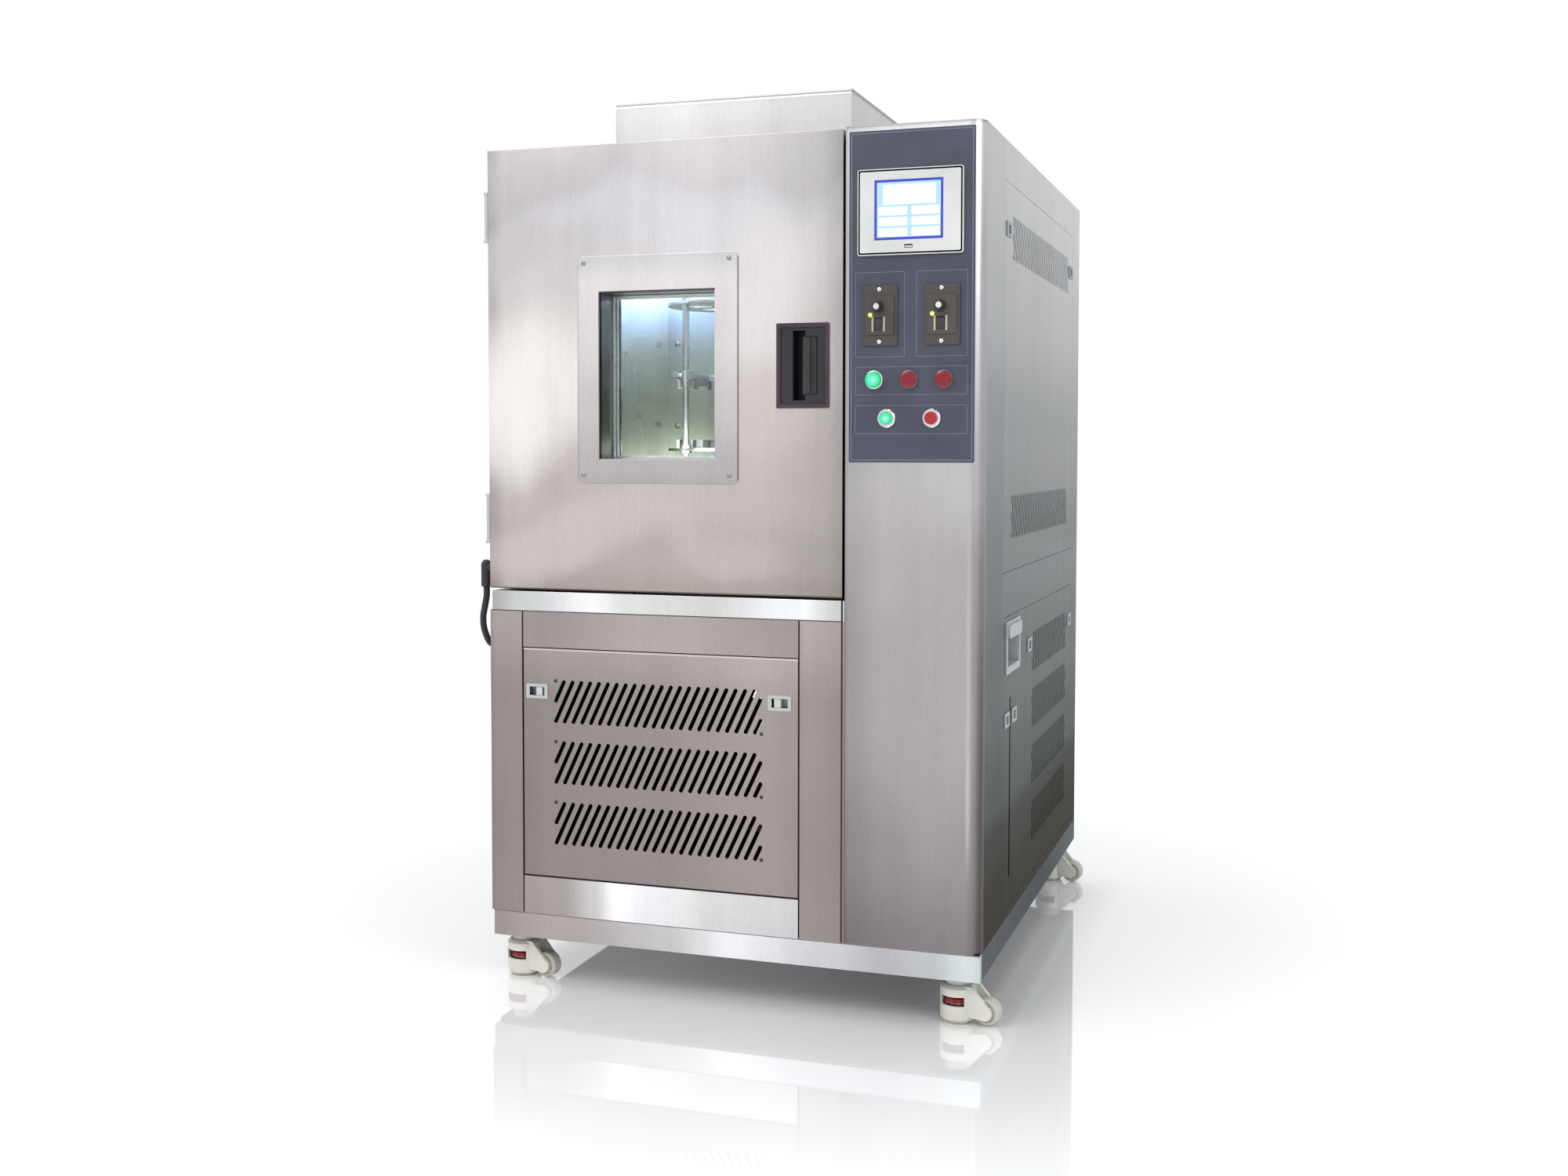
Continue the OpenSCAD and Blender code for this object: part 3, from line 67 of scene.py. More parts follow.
def at(x, y, z):
    """A point of the cabinet, in mm from its corner, as a point of the row frame in metres."""
    return Vector((CORNER_X + x / 1000, CORNER_Y + y / 1000, CORNER_Z + z / 1000))


def near(node):
    """The box of a CAD node in mm from the cabinet's corner: (x0, y0, z0), (x1, y1, z1)."""
    low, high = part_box(node)
    start = at(0, 0, 0)
    return (low - start) * 1000, (high - start) * 1000


# Places of the control panel's devices
panel_low, panel_high = near("control_panel")
panel_x = (panel_low.x + panel_high.x) / 2
panel_top = panel_high.z
panel_face = panel_low.y
lamp_low, lamp_high = near("pilot_lamps")
RING_R = 14.6
lamp_z = (lamp_low.z + lamp_high.z) / 2
lamp_spots = [lamp_low.x + RING_R, (lamp_low.x + lamp_high.x) / 2, lamp_high.x - RING_R]
start_low, start_high = near("start_button")
start_x = (start_low.x + start_high.x) / 2
start_z = (start_low.z + start_high.z) / 2

# Camera, fitted to the edges of the cabinet: picture and focal length in pixels, sensor and place in mm,
# angles in degrees, shift as a share of the sensor's width, and how far it sees in metres
PICTURE_W = 2000
FOCAL_PX = 2094
SENSOR_W = 36
CAMERA_PLACE = (1341, -2484, 825)
TILT = 2.54
ROLL = -0.07
TURN = 18.2
SHIFT = -0.0405
VIEW_LIMIT = 100

bpy.context.scene.view_settings.view_transform = "Standard"
camera_data = bpy.data.cameras.new("camera")
camera = bpy.data.objects.new("camera", camera_data)
bpy.context.scene.collection.objects.link(camera)
camera_data.sensor_width = SENSOR_W
camera_data.lens = FOCAL_PX / PICTURE_W * SENSOR_W
camera_data.shift_y = SHIFT
camera_data.clip_end = VIEW_LIMIT
camera.location = at(*CAMERA_PLACE)
camera.rotation_euler = (math.radians(90 - TILT), math.radians(ROLL), math.radians(TURN))
bpy.context.scene.camera = camera


class Tree:
    """Short calls that make and link the nodes of one material or world."""

    def __init__(self, owner, output="ShaderNodeOutputMaterial"):
        owner.use_nodes = True
        self.owner = owner
        self.nodes = owner.node_tree.nodes
        self.links = owner.node_tree.links
        self.nodes.clear()
        self.out = self.nodes.new(output)
        self.places = self.nodes.new("ShaderNodeTexCoord")
        self.coord = self.places.outputs["Object"]

    def link(self, source, target):
        self.links.new(source, target)

    def put(self, socket, value):
        """Gives a socket its value, or links another socket to it."""
        if isinstance(value, bpy.types.NodeSocket):
            self.link(value, socket)
        elif hasattr(value, "__len__") and len(value) == 3 and socket.type == "RGBA":
            socket.default_value = (*value, 1)
        else:
            socket.default_value = value

    def node(self, kind, settings=None, **inputs):
        made = self.nodes.new(kind)
        for key, value in (settings or {}).items():
            setattr(made, key, value)
        for key, value in inputs.items():
            self.put(made.inputs[key], value)
        return made

    def noise(self, scale, stretch=(1, 1, 1), detail=3):
        """Soft noise of 0 to 1 over the object, stretched along its axes."""
        spot = self.node("ShaderNodeMapping", Vector=self.coord, Scale=stretch).outputs["Vector"]
        return self.node("ShaderNodeTexNoise", Vector=spot, Scale=scale, Detail=detail).outputs["Fac"]

    def span(self, value, low, high, to_low=0.0, to_high=1.0, soft=False, clamp=True):
        """Turns a value between low and high into one between to_low and to_high."""
        kind = "SMOOTHSTEP" if soft else "LINEAR"
        made = self.node("ShaderNodeMapRange", {"interpolation_type": kind, "clamp": clamp}, Value=value)
        for key, number in zip(("From Min", "From Max", "To Min", "To Max"), (low, high, to_low, to_high)):
            made.inputs[key].default_value = number
        return made.outputs["Result"]

    def blend(self, share, a, b, mode="MIX"):
        made = self.node("ShaderNodeMix", {"data_type": "RGBA", "blend_type": mode})
        for index, value in ((0, share), (6, a), (7, b)):
            self.put(made.inputs[index], value)
        return made.outputs[2]

    def math(self, operation, a, b=0.0):
        made = self.node("ShaderNodeMath", {"operation": operation})
        self.put(made.inputs[0], a)
        self.put(made.inputs[1], b)
        return made.outputs[0]

    def times(self, a, b):
        return self.math("MULTIPLY", a, b)

    def squares(self, a, b):
        """The sum of two squares."""
        return self.math("ADD", self.times(a, a), self.times(b, b))

    def axes(self):
        """The cabinet's own x, y and z in mm from its corner."""
        parts = self.node("ShaderNodeSeparateXYZ", Vector=self.coord)
        pairs = zip("XYZ", (CORNER_X, CORNER_Y, CORNER_Z))
        return [self.span(parts.outputs[key], start, start + 1, 0, 1000, clamp=False) for key, start in pairs]

    def ramp(self, value, stops):
        """A colour that changes smoothly along value: stops are (value, colour)."""
        low, high = stops[0][0], stops[-1][0]
        made = self.nodes.new("ShaderNodeValToRGB")
        self.link(self.span(value, low, high), made.inputs[0])
        band = made.color_ramp
        band.interpolation = "EASE"
        for element, (place, colour) in ((band.elements[0], stops[0]), (band.elements[1], stops[-1])):
            element.color = (*colour, 1)
        for place, colour in stops[1:-1]:
            band.elements.new((place - low) / (high - low)).color = (*colour, 1)
        return made.outputs["Color"]

    def inside(self, value, low, high, soft):
        """1 between low and high, 0 outside them."""
        up = self.span(value, low - soft, low + soft, soft=True)
        down = self.span(value, high - soft, high + soft, 1, 0, soft=True)
        return self.times(up, down)

    def patch(self, x, z, spot):
        """1 in the middle of a soft ellipse, 0 outside it."""
        middle_x, middle_z, wide, tall = spot
        dx = self.span(x, middle_x, middle_x + wide, clamp=False)
        dz = self.span(z, middle_z, middle_z + tall, clamp=False)
        return self.span(self.squares(dx, dz), 0, 1, 1, 0, soft=True)

    def bump(self, height, strength, distance, normal=None):
        made = self.node("ShaderNodeBump", Height=height, Strength=strength, Distance=distance)
        if normal is not None:
            self.link(normal, made.inputs["Normal"])
        return made.outputs["Normal"]

    def soft_edge(self, radius):
        return self.node("ShaderNodeBevel", {"samples": 4}, Radius=radius).outputs["Normal"]

    def edge_wear(self):
        """Near 1 along sharp outer edges."""
        geometry = self.nodes.new("ShaderNodeNewGeometry")
        return self.span(geometry.outputs["Pointiness"], 0.52, 0.62)

    def mix(self, share, first, second):
        """One shader where share is 0, the other where it is 1."""
        made = self.node("ShaderNodeMixShader")
        for index, source in enumerate((share, first.outputs[0], second.outputs[0])):
            self.link(source, made.inputs[index])
        return made

    def principled(self, color, rough, metal, normal):
        made = self.node("ShaderNodeBsdfPrincipled", Roughness=rough, Metallic=metal, Normal=normal)
        self.put(made.inputs["Base Color"], color)
        return made

    def finish(self, shader):
        self.link(shader.outputs[0], self.out.inputs["Surface"])
        return self.owner


def material(name):
    """The node tree of a new material."""
    return Tree(bpy.data.materials.new(name))


def tone(red, green, blue):
    """A shade of 0 to 255 as a linear colour."""
    return tuple(((c / 255 + 0.055) / 1.055) ** 2.4 for c in (red, green, blue))


def shades(*stops):
    """Stops of colour: each is a place and a shade's red, green and blue of 0 to 255."""
    return [(place, tone(*shade)) for place, *shade in stops]


def shares(stops):
    """Stops of a plain factor: each is a place and the factor."""
    return [(place, (share, share, share)) for place, share in stops]


# The right side's painted reflections and shade over the height, and its share of metal
SIDE_UP = shades(
    (0, 72, 69, 64), (110, 74, 72, 67), (205, 84, 84, 80), (250, 94, 97, 96), (460, 104, 108, 108),
    (620, 116, 120, 121), (860, 142, 146, 148), (1070, 172, 175, 176), (BODY_H, 188, 191, 192),
)
# Less metal low down, so that the painted dark there is not lost to reflections at a slant
SIDE_METAL = shares([(0, 0.05), (200, 0.05), (270, 0.12), (460, 0.25), (860, 0.5), (BODY_H, 0.9)])

# How far a painted spot's outline wanders, and the blur at the edges of what lies on a sheet, in mm
WANDER = 60
ZONE_BLUR = 0.4
LINE_BLUR = 0.35
LINE_END_BLUR = 0.3
CATCH_BLUR = 0.2
FOLD_BLUR = 16
DULL_BLUR = 8


def steel(name, up, across=(), deep=(), zones=(), spots=(), bands=(), lines=(), catches=(), metal_up=None,
          hollow=None, dull_behind=None, side_from=None, rough=0.27, cloudy=0.35, edge=0.0012):
    """Brushed stainless sheet, its reflections and shade painted into its colour as in a plain room.

    up: painted reflections and shade over the height; across and deep: painted shade factors over x and y
    zones: limits in x and z, and painted reflections and shade over x
    spots: middle and reach of a soft ellipse of painted reflection, its shade and strength
    bands: limits in x and z, blur in x and in z, shade and strength; most are painted highlights and shade
    lines: axis, place and half width of a thin line, the axis and limits it runs along, and its shade
    catches: limits in x and z of moulded catches in the sheet's face, and their shade
    metal_up: share of metal over the height
    hollow: limits in x, y and z of the space behind the sheets, painted dark as shade, and that shade
    dull_behind: depth where a fold turns dull; side_from: depth where the sheet looks as the right side does
    cloudy: strength of the large blotches; edge: radius of the softened edges in metres
    """
    t = material(name)
    x, y, z = t.axes()
    axis = {"x": x, "y": y, "z": z}
    broad = t.noise(3.2, (1, 1, 0.45))
    streak = t.noise(11.0, (1.6, 1.6, 0.12), 4)
    fine = t.noise(60, (5, 5, 0.12))
    grain = t.noise(60, (34, 34, 1.2), 2)

    def area(x0, x1, z0, z1, blur_x, blur_z):
        return t.times(t.inside(x, x0, x1, blur_x), t.inside(z, z0, z1, blur_z))

    # Painted reflections and shade: up the height, in zones, as factors over x and y, in spots and bands
    base = t.ramp(z, up)
    for limits, stops in zones:
        base = t.blend(area(*limits, ZONE_BLUR, ZONE_BLUR), base, t.ramp(x, stops))
    for value, stops in ((x, across), (y, deep)):
        if stops:
            base = t.blend(1.0, base, t.ramp(value, shares(stops)), "MULTIPLY")
    wander = t.span(broad, 0.3, 0.7, -WANDER, WANDER, clamp=False)
    spot_x, spot_z = t.math("ADD", x, wander), t.math("ADD", z, wander)
    for spot, shade, strength in spots:
        base = t.blend(t.times(t.patch(spot_x, spot_z, spot), strength), base, tone(*shade))
    for limits, blur_x, blur_z, shade, strength in bands:
        base = t.blend(t.times(area(*limits, blur_x, blur_z), strength), base, tone(*shade))
    for share, texture, stops in (
        (cloudy, broad, [(0.32, 0.86), (0.5, 1.0), (0.68, 1.12)]),
        (cloudy, streak, [(0.34, 0.90), (0.5, 1.0), (0.66, 1.08)]),
        (0.14, fine, [(0.3, 0.90), (0.7, 1.08)]),
        (0.4, grain, [(0.3, 0.88), (0.7, 1.10)]),
    ):
        base = t.blend(share, base, t.ramp(texture, shares(stops)), "MULTIPLY")
    # Thin lines: dark joints, and a few painted highlights and shade along edges
    for across_axis, place, half, along, low, high, shade in lines:
        mask = t.inside(axis[across_axis], place - half, place + half, LINE_BLUR)
        mask = t.times(mask, t.inside(axis[along], low, high, LINE_END_BLUR))
        base = t.blend(mask, base, tone(*shade))

    roughness = t.span(broad, 0.3, 0.7, rough - 0.04, rough + 0.07)
    metal = t.ramp(z, metal_up) if metal_up else 1.0
    if dull_behind:
        metal = t.span(y, dull_behind, dull_behind + DULL_BLUR, 1.0, 0.12)
    if side_from:
        mask = t.span(y, side_from, side_from + FOLD_BLUR, soft=True)
        base = t.blend(mask, base, t.ramp(z, SIDE_UP))
        metal = t.blend(mask, (1, 1, 1), t.ramp(z, SIDE_METAL))
    for limits, shade in catches:
        mask = t.times(area(*limits, CATCH_BLUR, CATCH_BLUR), t.span(y, -0.6, -0.2, 1, 0))
        base = t.blend(mask, base, tone(*shade))
        metal = t.math("SUBTRACT", metal, mask)
        roughness = t.math("MAXIMUM", roughness, t.times(mask, 0.4))
    # The space behind the sheets is painted dark, as shade
    if hollow:
        limits_x, limits_y, limits_z, shade = hollow
        mask = t.times(area(*limits_x, *limits_z, ZONE_BLUR, ZONE_BLUR), t.inside(y, *limits_y, ZONE_BLUR))
        base = t.blend(mask, base, tone(*shade))
        metal = t.times(metal, t.math("SUBTRACT", 1.0, mask))
    normal = t.bump(grain, 0.05, 0.0004, t.soft_edge(edge) if edge else None)
    made = t.principled(base, roughness, metal, normal)
    if metal_up or hollow or dull_behind or side_from:
        made.inputs["Specular IOR Level"].default_value = 0.0
    return t.finish(made)


def moulded(name, color, rough=0.45, grain=900, strength=0.12, wear=0.15, edge=0.0006):
    """Moulded plastic or paint: fine texture, faint mottling, slightly paler edges."""
    t = material(name)
    fine = t.noise(grain, detail=2)
    soft = t.noise(14)
    light = tuple(min(1, c * 1.08 + 0.01) for c in color)
    worn = tuple(min(1, c * 1.3 + 0.05) for c in color)
    base = t.blend(t.span(soft, 0.3, 0.7), tuple(c * 0.92 for c in color), light)
    base = t.blend(t.span(t.edge_wear(), 0, 1, 0, wear), base, worn)
    roughness = t.span(soft, 0.3, 0.7, rough - 0.05, rough + 0.06)
    normal = t.bump(fine, strength, 0.0002, t.soft_edge(edge) if edge else None)
    return t.finish(t.principled(base, roughness, 0.0, normal))


def polished(name, color, rough=0.12):
    """Plated or polished metal with fine wear."""
    t = material(name)
    wear = t.noise(60, (1, 1, 3), 4)
    base = t.blend(t.span(wear, 0.35, 0.7), color, tuple(c * 0.82 for c in color))
    roughness = t.span(wear, 0.3, 0.7, rough, rough + 0.14)
    normal = t.bump(t.noise(700, detail=1), 0.03, 0.0002, t.soft_edge(0.0005))
    return t.finish(t.principled(base, roughness, 1.0, normal))


def lit(t, made, color, strength):
    """Gives a shader its glow."""
    t.put(made.inputs["Emission Color"], color)
    made.inputs["Emission Strength"].default_value = strength
    return t.finish(made)


def glowing(name, color, strength, rough=0.2):
    """Lit plastic: a lens or a screen area."""
    t = material(name)
    soft = t.noise(240, detail=2)
    shade = t.blend(t.span(soft, 0.3, 0.7), tuple(c * 0.92 for c in color), color)
    return lit(t, t.principled(shade, rough, 0.0, t.bump(soft, 0.04, 0.0002)), color, strength)


def lit_cap(name, middle_x, middle_z, reach):
    """A lit green cap: nearly white in the middle, deep green at the rim."""
    t = material(name)
    x, _, z = t.axes()
    away = t.math("SQRT", t.squares(t.math("SUBTRACT", x, middle_x), t.math("SUBTRACT", z, middle_z)))
    soft = t.noise(240, detail=2)
    wander = t.math("ADD", away, t.span(soft, 0.3, 0.7, -0.4, 0.4))
    pale, bright, deep = (0.62, 1.0, 0.88), (0.12, 0.95, 0.55), (0.0, 0.42, 0.16)
    glow = t.ramp(wander, [(0, pale), (reach * 0.5, bright), (reach, deep)])
    return lit(t, t.principled((0.01, 0.30, 0.12), 0.2, 0.0, t.bump(soft, 0.04, 0.0002)), glow, 0.85)


def glass(name, tint, rough=0.02):
    """Clear glass with faint smears, which bends light little, as a thin pane does."""
    t = material(name)
    smear = t.noise(7, (1, 1, 0.5), 4)
    made = t.principled(tint, t.span(smear, 0.3, 0.8, rough, rough + 0.05), 0.0, t.bump(smear, 0.02, 0.001))
    made.inputs["Transmission Weight"].default_value = 1.0
    made.inputs["IOR"].default_value = 1.05
    return t.finish(made)


def mottled(t, soft, dark, light):
    """A shade that wavers between two."""
    return t.blend(t.span(soft, 0.3, 0.7), tone(*dark), tone(*light))


def handle_enamel():
    """Dark plum rim round a charcoal plate, with a black line between them; painted shade in recesses."""
    rim_w = 6.0
    line_w = 1.6
    t = material("handle_enamel")
    x, y, z = t.axes()
    low, high = near("latch_housing")
    soft = t.noise(14)

    def within(inset):
        across = t.inside(x, low.x + inset, high.x - inset, 0.2)
        return t.times(across, t.inside(z, low.z + inset, high.z - inset, 0.2))

    base = t.blend(within(rim_w), mottled(t, soft, (62, 40, 52), (74, 50, 62)), tone(20, 18, 22))
    base = t.blend(within(rim_w + line_w), base, mottled(t, soft, (34, 34, 41), (43, 43, 51)))
    # Surfaces set back behind the face are painted near black, as painted shade in the recesses
    base = t.blend(t.span(y, 0.5, 1.5), base, tone(14, 13, 15))
    normal = t.bump(t.noise(900, detail=2), 0.1, 0.0002, t.soft_edge(0.0006))
    return t.finish(t.principled(base, t.span(soft, 0.3, 0.7, 0.26, 0.36), 0.0, normal))


def caster_foot():
    """Grey foot, red dial above it, plain screw above the dial."""
    dial_z = -45
    screw_z = -25
    t = material("foot_and_dial")
    _, _, z = t.axes()
    soft = t.noise(40)
    foot = mottled(t, soft, (176, 172, 158), (196, 192, 178))
    dial = mottled(t, soft, (150, 14, 18), (176, 22, 24))
    base = t.blend(t.span(z, dial_z - 0.5, dial_z + 0.5), foot, dial)
    base = t.blend(t.span(z, screw_z - 0.5, screw_z + 0.5), base, tone(150, 150, 152))
    normal = t.bump(t.noise(900, detail=2), 0.1, 0.0002, t.soft_edge(0.0005))
    return t.finish(t.principled(base, 0.36, 0.0, normal))


# Sheets of stainless steel, with the reflections and shade painted over each
SHEETS = {
    # Door: painted reflections, lighter high up, darker at its edges, with painted highlight patches
    "door_steel": dict(
        up=shades((594, 176, 167, 163), (650, 188, 181, 178), (740, 200, 193, 190), (880, 206, 199, 198),
                  (1000, 220, 213, 212), (1120, 222, 217, 217), (1230, 204, 201, 204), (1328, 206, 203, 205)),
        across=[(-25, 0.55), (4, 0.74), (34, 0.94), (200, 1.0), (330, 1.06), (470, 1.02), (585, 0.86),
                (COLUMN_X, 0.70)],
        spots=[
            ((112, 962, 145, 165), (253, 248, 246), 0.95), ((330, 1205, 330, 75), (226, 226, 230), 0.7),
            ((520, 1120, 110, 130), (234, 230, 230), 0.8), ((80, 1290, 150, 60), (196, 192, 194), 0.5),
            ((60, 1180, 120, 45), (206, 201, 201), 0.55), ((520, 940, 130, 110), (214, 206, 206), 0.5),
            ((190, 715, 190, 70), (222, 215, 212), 0.5), ((420, 660, 150, 50), (208, 201, 199), 0.5),
        ],
        lines=[("z", DOOR_SEAM, 1.6, "x", -5, 640, (120, 105, 100))],
    ),
    # Control column: painted reflections, darker low down and at its edges; painted shade inside
    "column_steel": dict(
        up=shades((42, 134, 127, 126), (200, 147, 140, 140), (430, 170, 165, 165), (640, 178, 174, 176),
                  (790, 200, 198, 201), (1100, 220, 220, 223), (1329, 242, 242, 244),
                  (1330.8, 178, 178, 180)),
        across=[(624, 0.62), (632, 0.82), (690, 0.98), (790, 1.04), (818, 1.06), (832, 0.84), (846, 0.66)],
        spots=[((700, 700, 120, 150), (196, 191, 194), 0.4), ((770, 330, 90, 190), (164, 158, 158), 0.4)],
        # A band of painted shade on the lower right corner, and a painted highlight along the edge beside it
        bands=[((838, 870, -200, 560), 9, 260, (70, 66, 64), 0.92),
               ((822, 827, 200, BODY_H), 4, 60, (214, 212, 213), 0.5)],
        hollow=((627, 822), (24, 162), (44, 1329), (60, 60, 60)), side_from=14,
    ),
    # Lower front frame: painted reflections over the height and across; the lines are joints
    "front_steel": dict(
        up=shades((42, 146, 137, 134), (200, 138, 129, 127), (400, 146, 137, 134), (556, 170, 161, 158)),
        across=[(0, 0.86), (10, 1.0), (70, 1.0), (540, 1.10), (566, 1.18), (COLUMN_X, 1.02)],
        zones=[
            # Sill, top rail and kick rail, each with painted reflections across it
            ((-5, 640, 557, 600), shades(
                (0, 176, 176, 176), (60, 205, 207, 208), (193, 250, 250, 252), (250, 226, 226, 228),
                (400, 212, 212, 214), (535, 238, 240, 242), (COLUMN_X, 206, 206, 206))),
            ((60, 550, 496, 556.4), shades((60, 158, 150, 147), (300, 178, 170, 168), (550, 160, 150, 147))),
            ((60, 550, 40, KICK_SEAM), shades(
                (60, 158, 149, 145), (130, 164, 157, 154), (190, 200, 196, 196), (231, 248, 248, 250),
                (300, 232, 232, 233), (420, 206, 203, 204), (550, 196, 194, 194))),
        ],
        lines=[
            ("x", LEFT_POST_SEAM, 1.3, "z", 43, 556, (48, 42, 40)),
            ("x", RIGHT_POST_SEAM, 1.3, "z", 43, 556, (48, 42, 40)),
            ("z", DECK_SEAM, 0.9, "x", 0, COLUMN_X, (96, 88, 86)),
            ("z", KICK_SEAM, 1.2, "x", 60, 550, (60, 54, 52)),
            ("x", COLUMN_X, 1.6, "z", 43, 594, (70, 62, 60)),
        ],
    ),
    # Grille: painted reflections over the height and across
    "grille_steel": dict(
        up=shades((107, 146, 137, 135), (230, 144, 135, 133), (400, 152, 144, 141), (496, 172, 164, 161)),
        across=[(60, 0.82), (120, 0.92), (300, 1.0), (480, 1.16), (550, 1.06)],
        lines=[
            ("x", 61.3, 0.8, "z", 107, 496, (60, 54, 52)), ("x", 548.8, 0.8, "z", 107, 496, (60, 54, 52)),
            # The pale line under the top edge is a painted highlight on the rim
            ("z", 495.2, 1.0, "x", 60, 550, (60, 54, 52)), ("z", 492.2, 1.0, "x", 62, 548, (214, 210, 209)),
            ("z", 108, 0.9, "x", 60, 550, (60, 54, 52)),
        ],
        catches=[
            ((67.2, 107.4, 409.2, 434.3), (196, 198, 198)),
            ((497.7, 537.8, 409.2, 434.3), (196, 198, 198)),
        ],
    ),
    # Right side: painted reflections and shade, darker low down and towards the front
    "side_steel": dict(
        up=SIDE_UP, deep=[(0, 0.72), (70, 0.90), (300, 1.0), (1012, 1.06)], metal_up=SIDE_METAL, rough=0.16,
        # The dark band round the slit is painted shade, widening the dark of the gap
        lines=[("y", 243.5, 5.5, "z", 108, 414, (18, 18, 18))],
    ),
    # Shell: painted shade, darker towards the bottom; the machine room painted dark as shade
    "shell_steel": dict(
        up=shades((0, 140, 138, 136), (300, 158, 156, 155), (800, 184, 183, 183), (BODY_H, 206, 206, 207)),
        hollow=((0.9, 844.1), (15.2, 1011.2), (43.5, 590), (40, 39, 39)), rough=0.22, cloudy=0.5,
    ),
    # Base strip: painted reflections across its front; painted shade behind its front face and inside
    "base_steel": dict(
        up=shades((0, 190, 190, 190), (42, 196, 196, 196)),
        zones=[((-5, 850, -5, 60), shades(
            (0, 158, 148, 146), (150, 176, 167, 166), (330, 206, 203, 204), (430, 240, 240, 242),
            (560, 214, 214, 217), (700, 188, 188, 192), (765, 192, 194, 196), (825, 214, 221, 223),
            (BODY_W, 206, 214, 216)))],
        deep=[(0, 1.0), (6, 1.0), (20, 0.20), (600, 0.16), (1012, 0.24)],
        # Darker below the strip
        bands=[((-5, 850, -60, -1.2), 0.3, 0.3, (46, 42, 44), 1.0)],
        lines=[("z", 41.8, 0.7, "x", 0, BODY_W, (110, 102, 100))],
        hollow=((5, 840), (20, 1007), (3, 60), (40, 39, 39)), dull_behind=6,
    ),
    # Motor box: painted reflections over the height and across; a dark joint at the lid
    "roof_steel": dict(
        up=shades((1320, 196, 195, 195), (1350, 206, 205, 205), (1400, 210, 209, 209), (1410, 206, 206, 206),
                  (1414, 140, 140, 140), (1418, 190, 190, 190)),
        across=[(150, 0.88), (230, 1.0), (430, 0.90), (600, 0.94)],
    ),
    # Chamber: painted light of the chamber lamp, lighter and bluer towards the top
    "chamber_steel": dict(
        up=shades((650, 150, 158, 150), (850, 174, 180, 172), (1000, 200, 205, 202), (1110, 210, 221, 238)),
        rough=0.24, cloudy=0.8, edge=0.0,
    ),
    # Window plate: painted reflections, lighter high up and darker at its left and right edges
    "window_plate_steel": dict(
        up=shades((770, 188, 184, 186), (800, 196, 192, 193), (900, 214, 208, 209), (1010, 232, 227, 227),
                  (1100, 236, 233, 234), (1146, 220, 218, 220)),
        across=[(165, 0.78), (170, 1.0), (300, 1.0), (425, 0.97), (444, 0.97), (448, 0.6)],
        lines=[
            # Dark lines on the edges that face right and down: painted shade
            ("x", 204.4, 1.3, "z", 812, 1086, (110, 102, 98)),
            ("z", 1086.3, 1.3, "x", 204, 408, (96, 86, 80)),
            ("x", 447.2, 0.9, "z", 772, 1145, (96, 90, 90)),
            ("z", 772.2, 0.9, "x", 166, 447, (130, 124, 124)),
        ],
    ),
    # Door liner: darker in front of the panes, painted shade in the window's reveal
    "door_liner_steel": dict(
        up=shades((594, 164, 166, 158), (1328, 186, 188, 188)),
        deep=[(0, 0.40), (46, 0.46), (54, 0.9), (90, 1.0)], rough=0.24, cloudy=0.6, edge=0.0,
    ),
}

# Plastics, rubbers and paints: colour, roughness, size and strength of the grain, wear of the edges
PLASTICS = {
    "panel_paint": ((0.054, 0.059, 0.092), 0.45, 1400, 0.08, 0.1),
    "bezel_plastic": ((0.74, 0.745, 0.71), 0.42),
    "dark_plastic": ((0.019, 0.018, 0.022), 0.35),
    "beige_plastic": ((0.52, 0.45, 0.33), 0.4),
    "bronze_grey_plastic": ((0.062, 0.054, 0.048), 0.42),
    "ivory_plastic": ((0.76, 0.74, 0.66), 0.35),
    "latch_plastic": ((0.60, 0.62, 0.60), 0.4),
    "side_latch_plastic": ((0.33, 0.35, 0.35), 0.4),
    "filler_plastic": ((0.40, 0.42, 0.42), 0.4),
    "white_plastic": ((0.80, 0.80, 0.79), 0.35),
    "black_rubber": ((0.018, 0.018, 0.019), 0.6, 500, 0.2),
    "gasket_rubber": ((0.62, 0.62, 0.60), 0.6, 500, 0.2),
    "wheel_nylon": ((0.56, 0.54, 0.47), 0.4),
    "machine_paint": ((0.030, 0.030, 0.034), 0.4),
    "motor_paint": ((0.16, 0.18, 0.20), 0.45),
    "insulation_board": ((0.70, 0.60, 0.30), 0.8, 120, 0.5, 0.15, 0.0),
    "red_cap_plastic": ((0.50, 0.02, 0.03), 0.25),
    "pale_print": ((0.20, 0.23, 0.31), 0.5, 900, 0.12, 0.15, 0.0),
}

# Plated and polished metals: colour, roughness
METALS = {
    "chrome": ((0.82, 0.82, 0.84),),
    "spacer_aluminium": ((0.86, 0.90, 0.90), 0.3),
    "zinc_plate": ((0.66, 0.67, 0.69), 0.25),
    "dull_screw": ((0.34, 0.34, 0.35), 0.3),
    "dark_plated_ring": ((0.20, 0.20, 0.22), 0.25),
}

# Lit lenses and screen areas: colour, strength, roughness
LIGHTS = {
    "red_lens": ((0.27, 0.010, 0.02), 0.05),
    "screen_border": ((0.04, 0.05, 0.42), 0.45, 0.15),
    "screen_ground": ((0.30, 0.48, 0.80), 0.75, 0.15),
    "screen_tile": ((0.80, 0.86, 0.94), 0.85, 0.15),
    "status_light": ((0.62, 0.95, 0.10), 1.6),
}

looks = {name: steel(name, **sheet) for name, sheet in SHEETS.items()}
for make, table in ((moulded, PLASTICS), (polished, METALS), (glowing, LIGHTS)):
    looks.update({name: make(name, *values) for name, values in table.items()})
looks["handle_enamel"] = handle_enamel()
looks["foot_and_dial"] = caster_foot()
looks["window_glass"] = glass("window_glass", (0.95, 0.965, 0.95))
looks["green_lens"] = lit_cap("green_lens", lamp_spots[0], lamp_z, 12)
looks["green_cap"] = lit_cap("green_cap", start_x, start_z, 9.6)

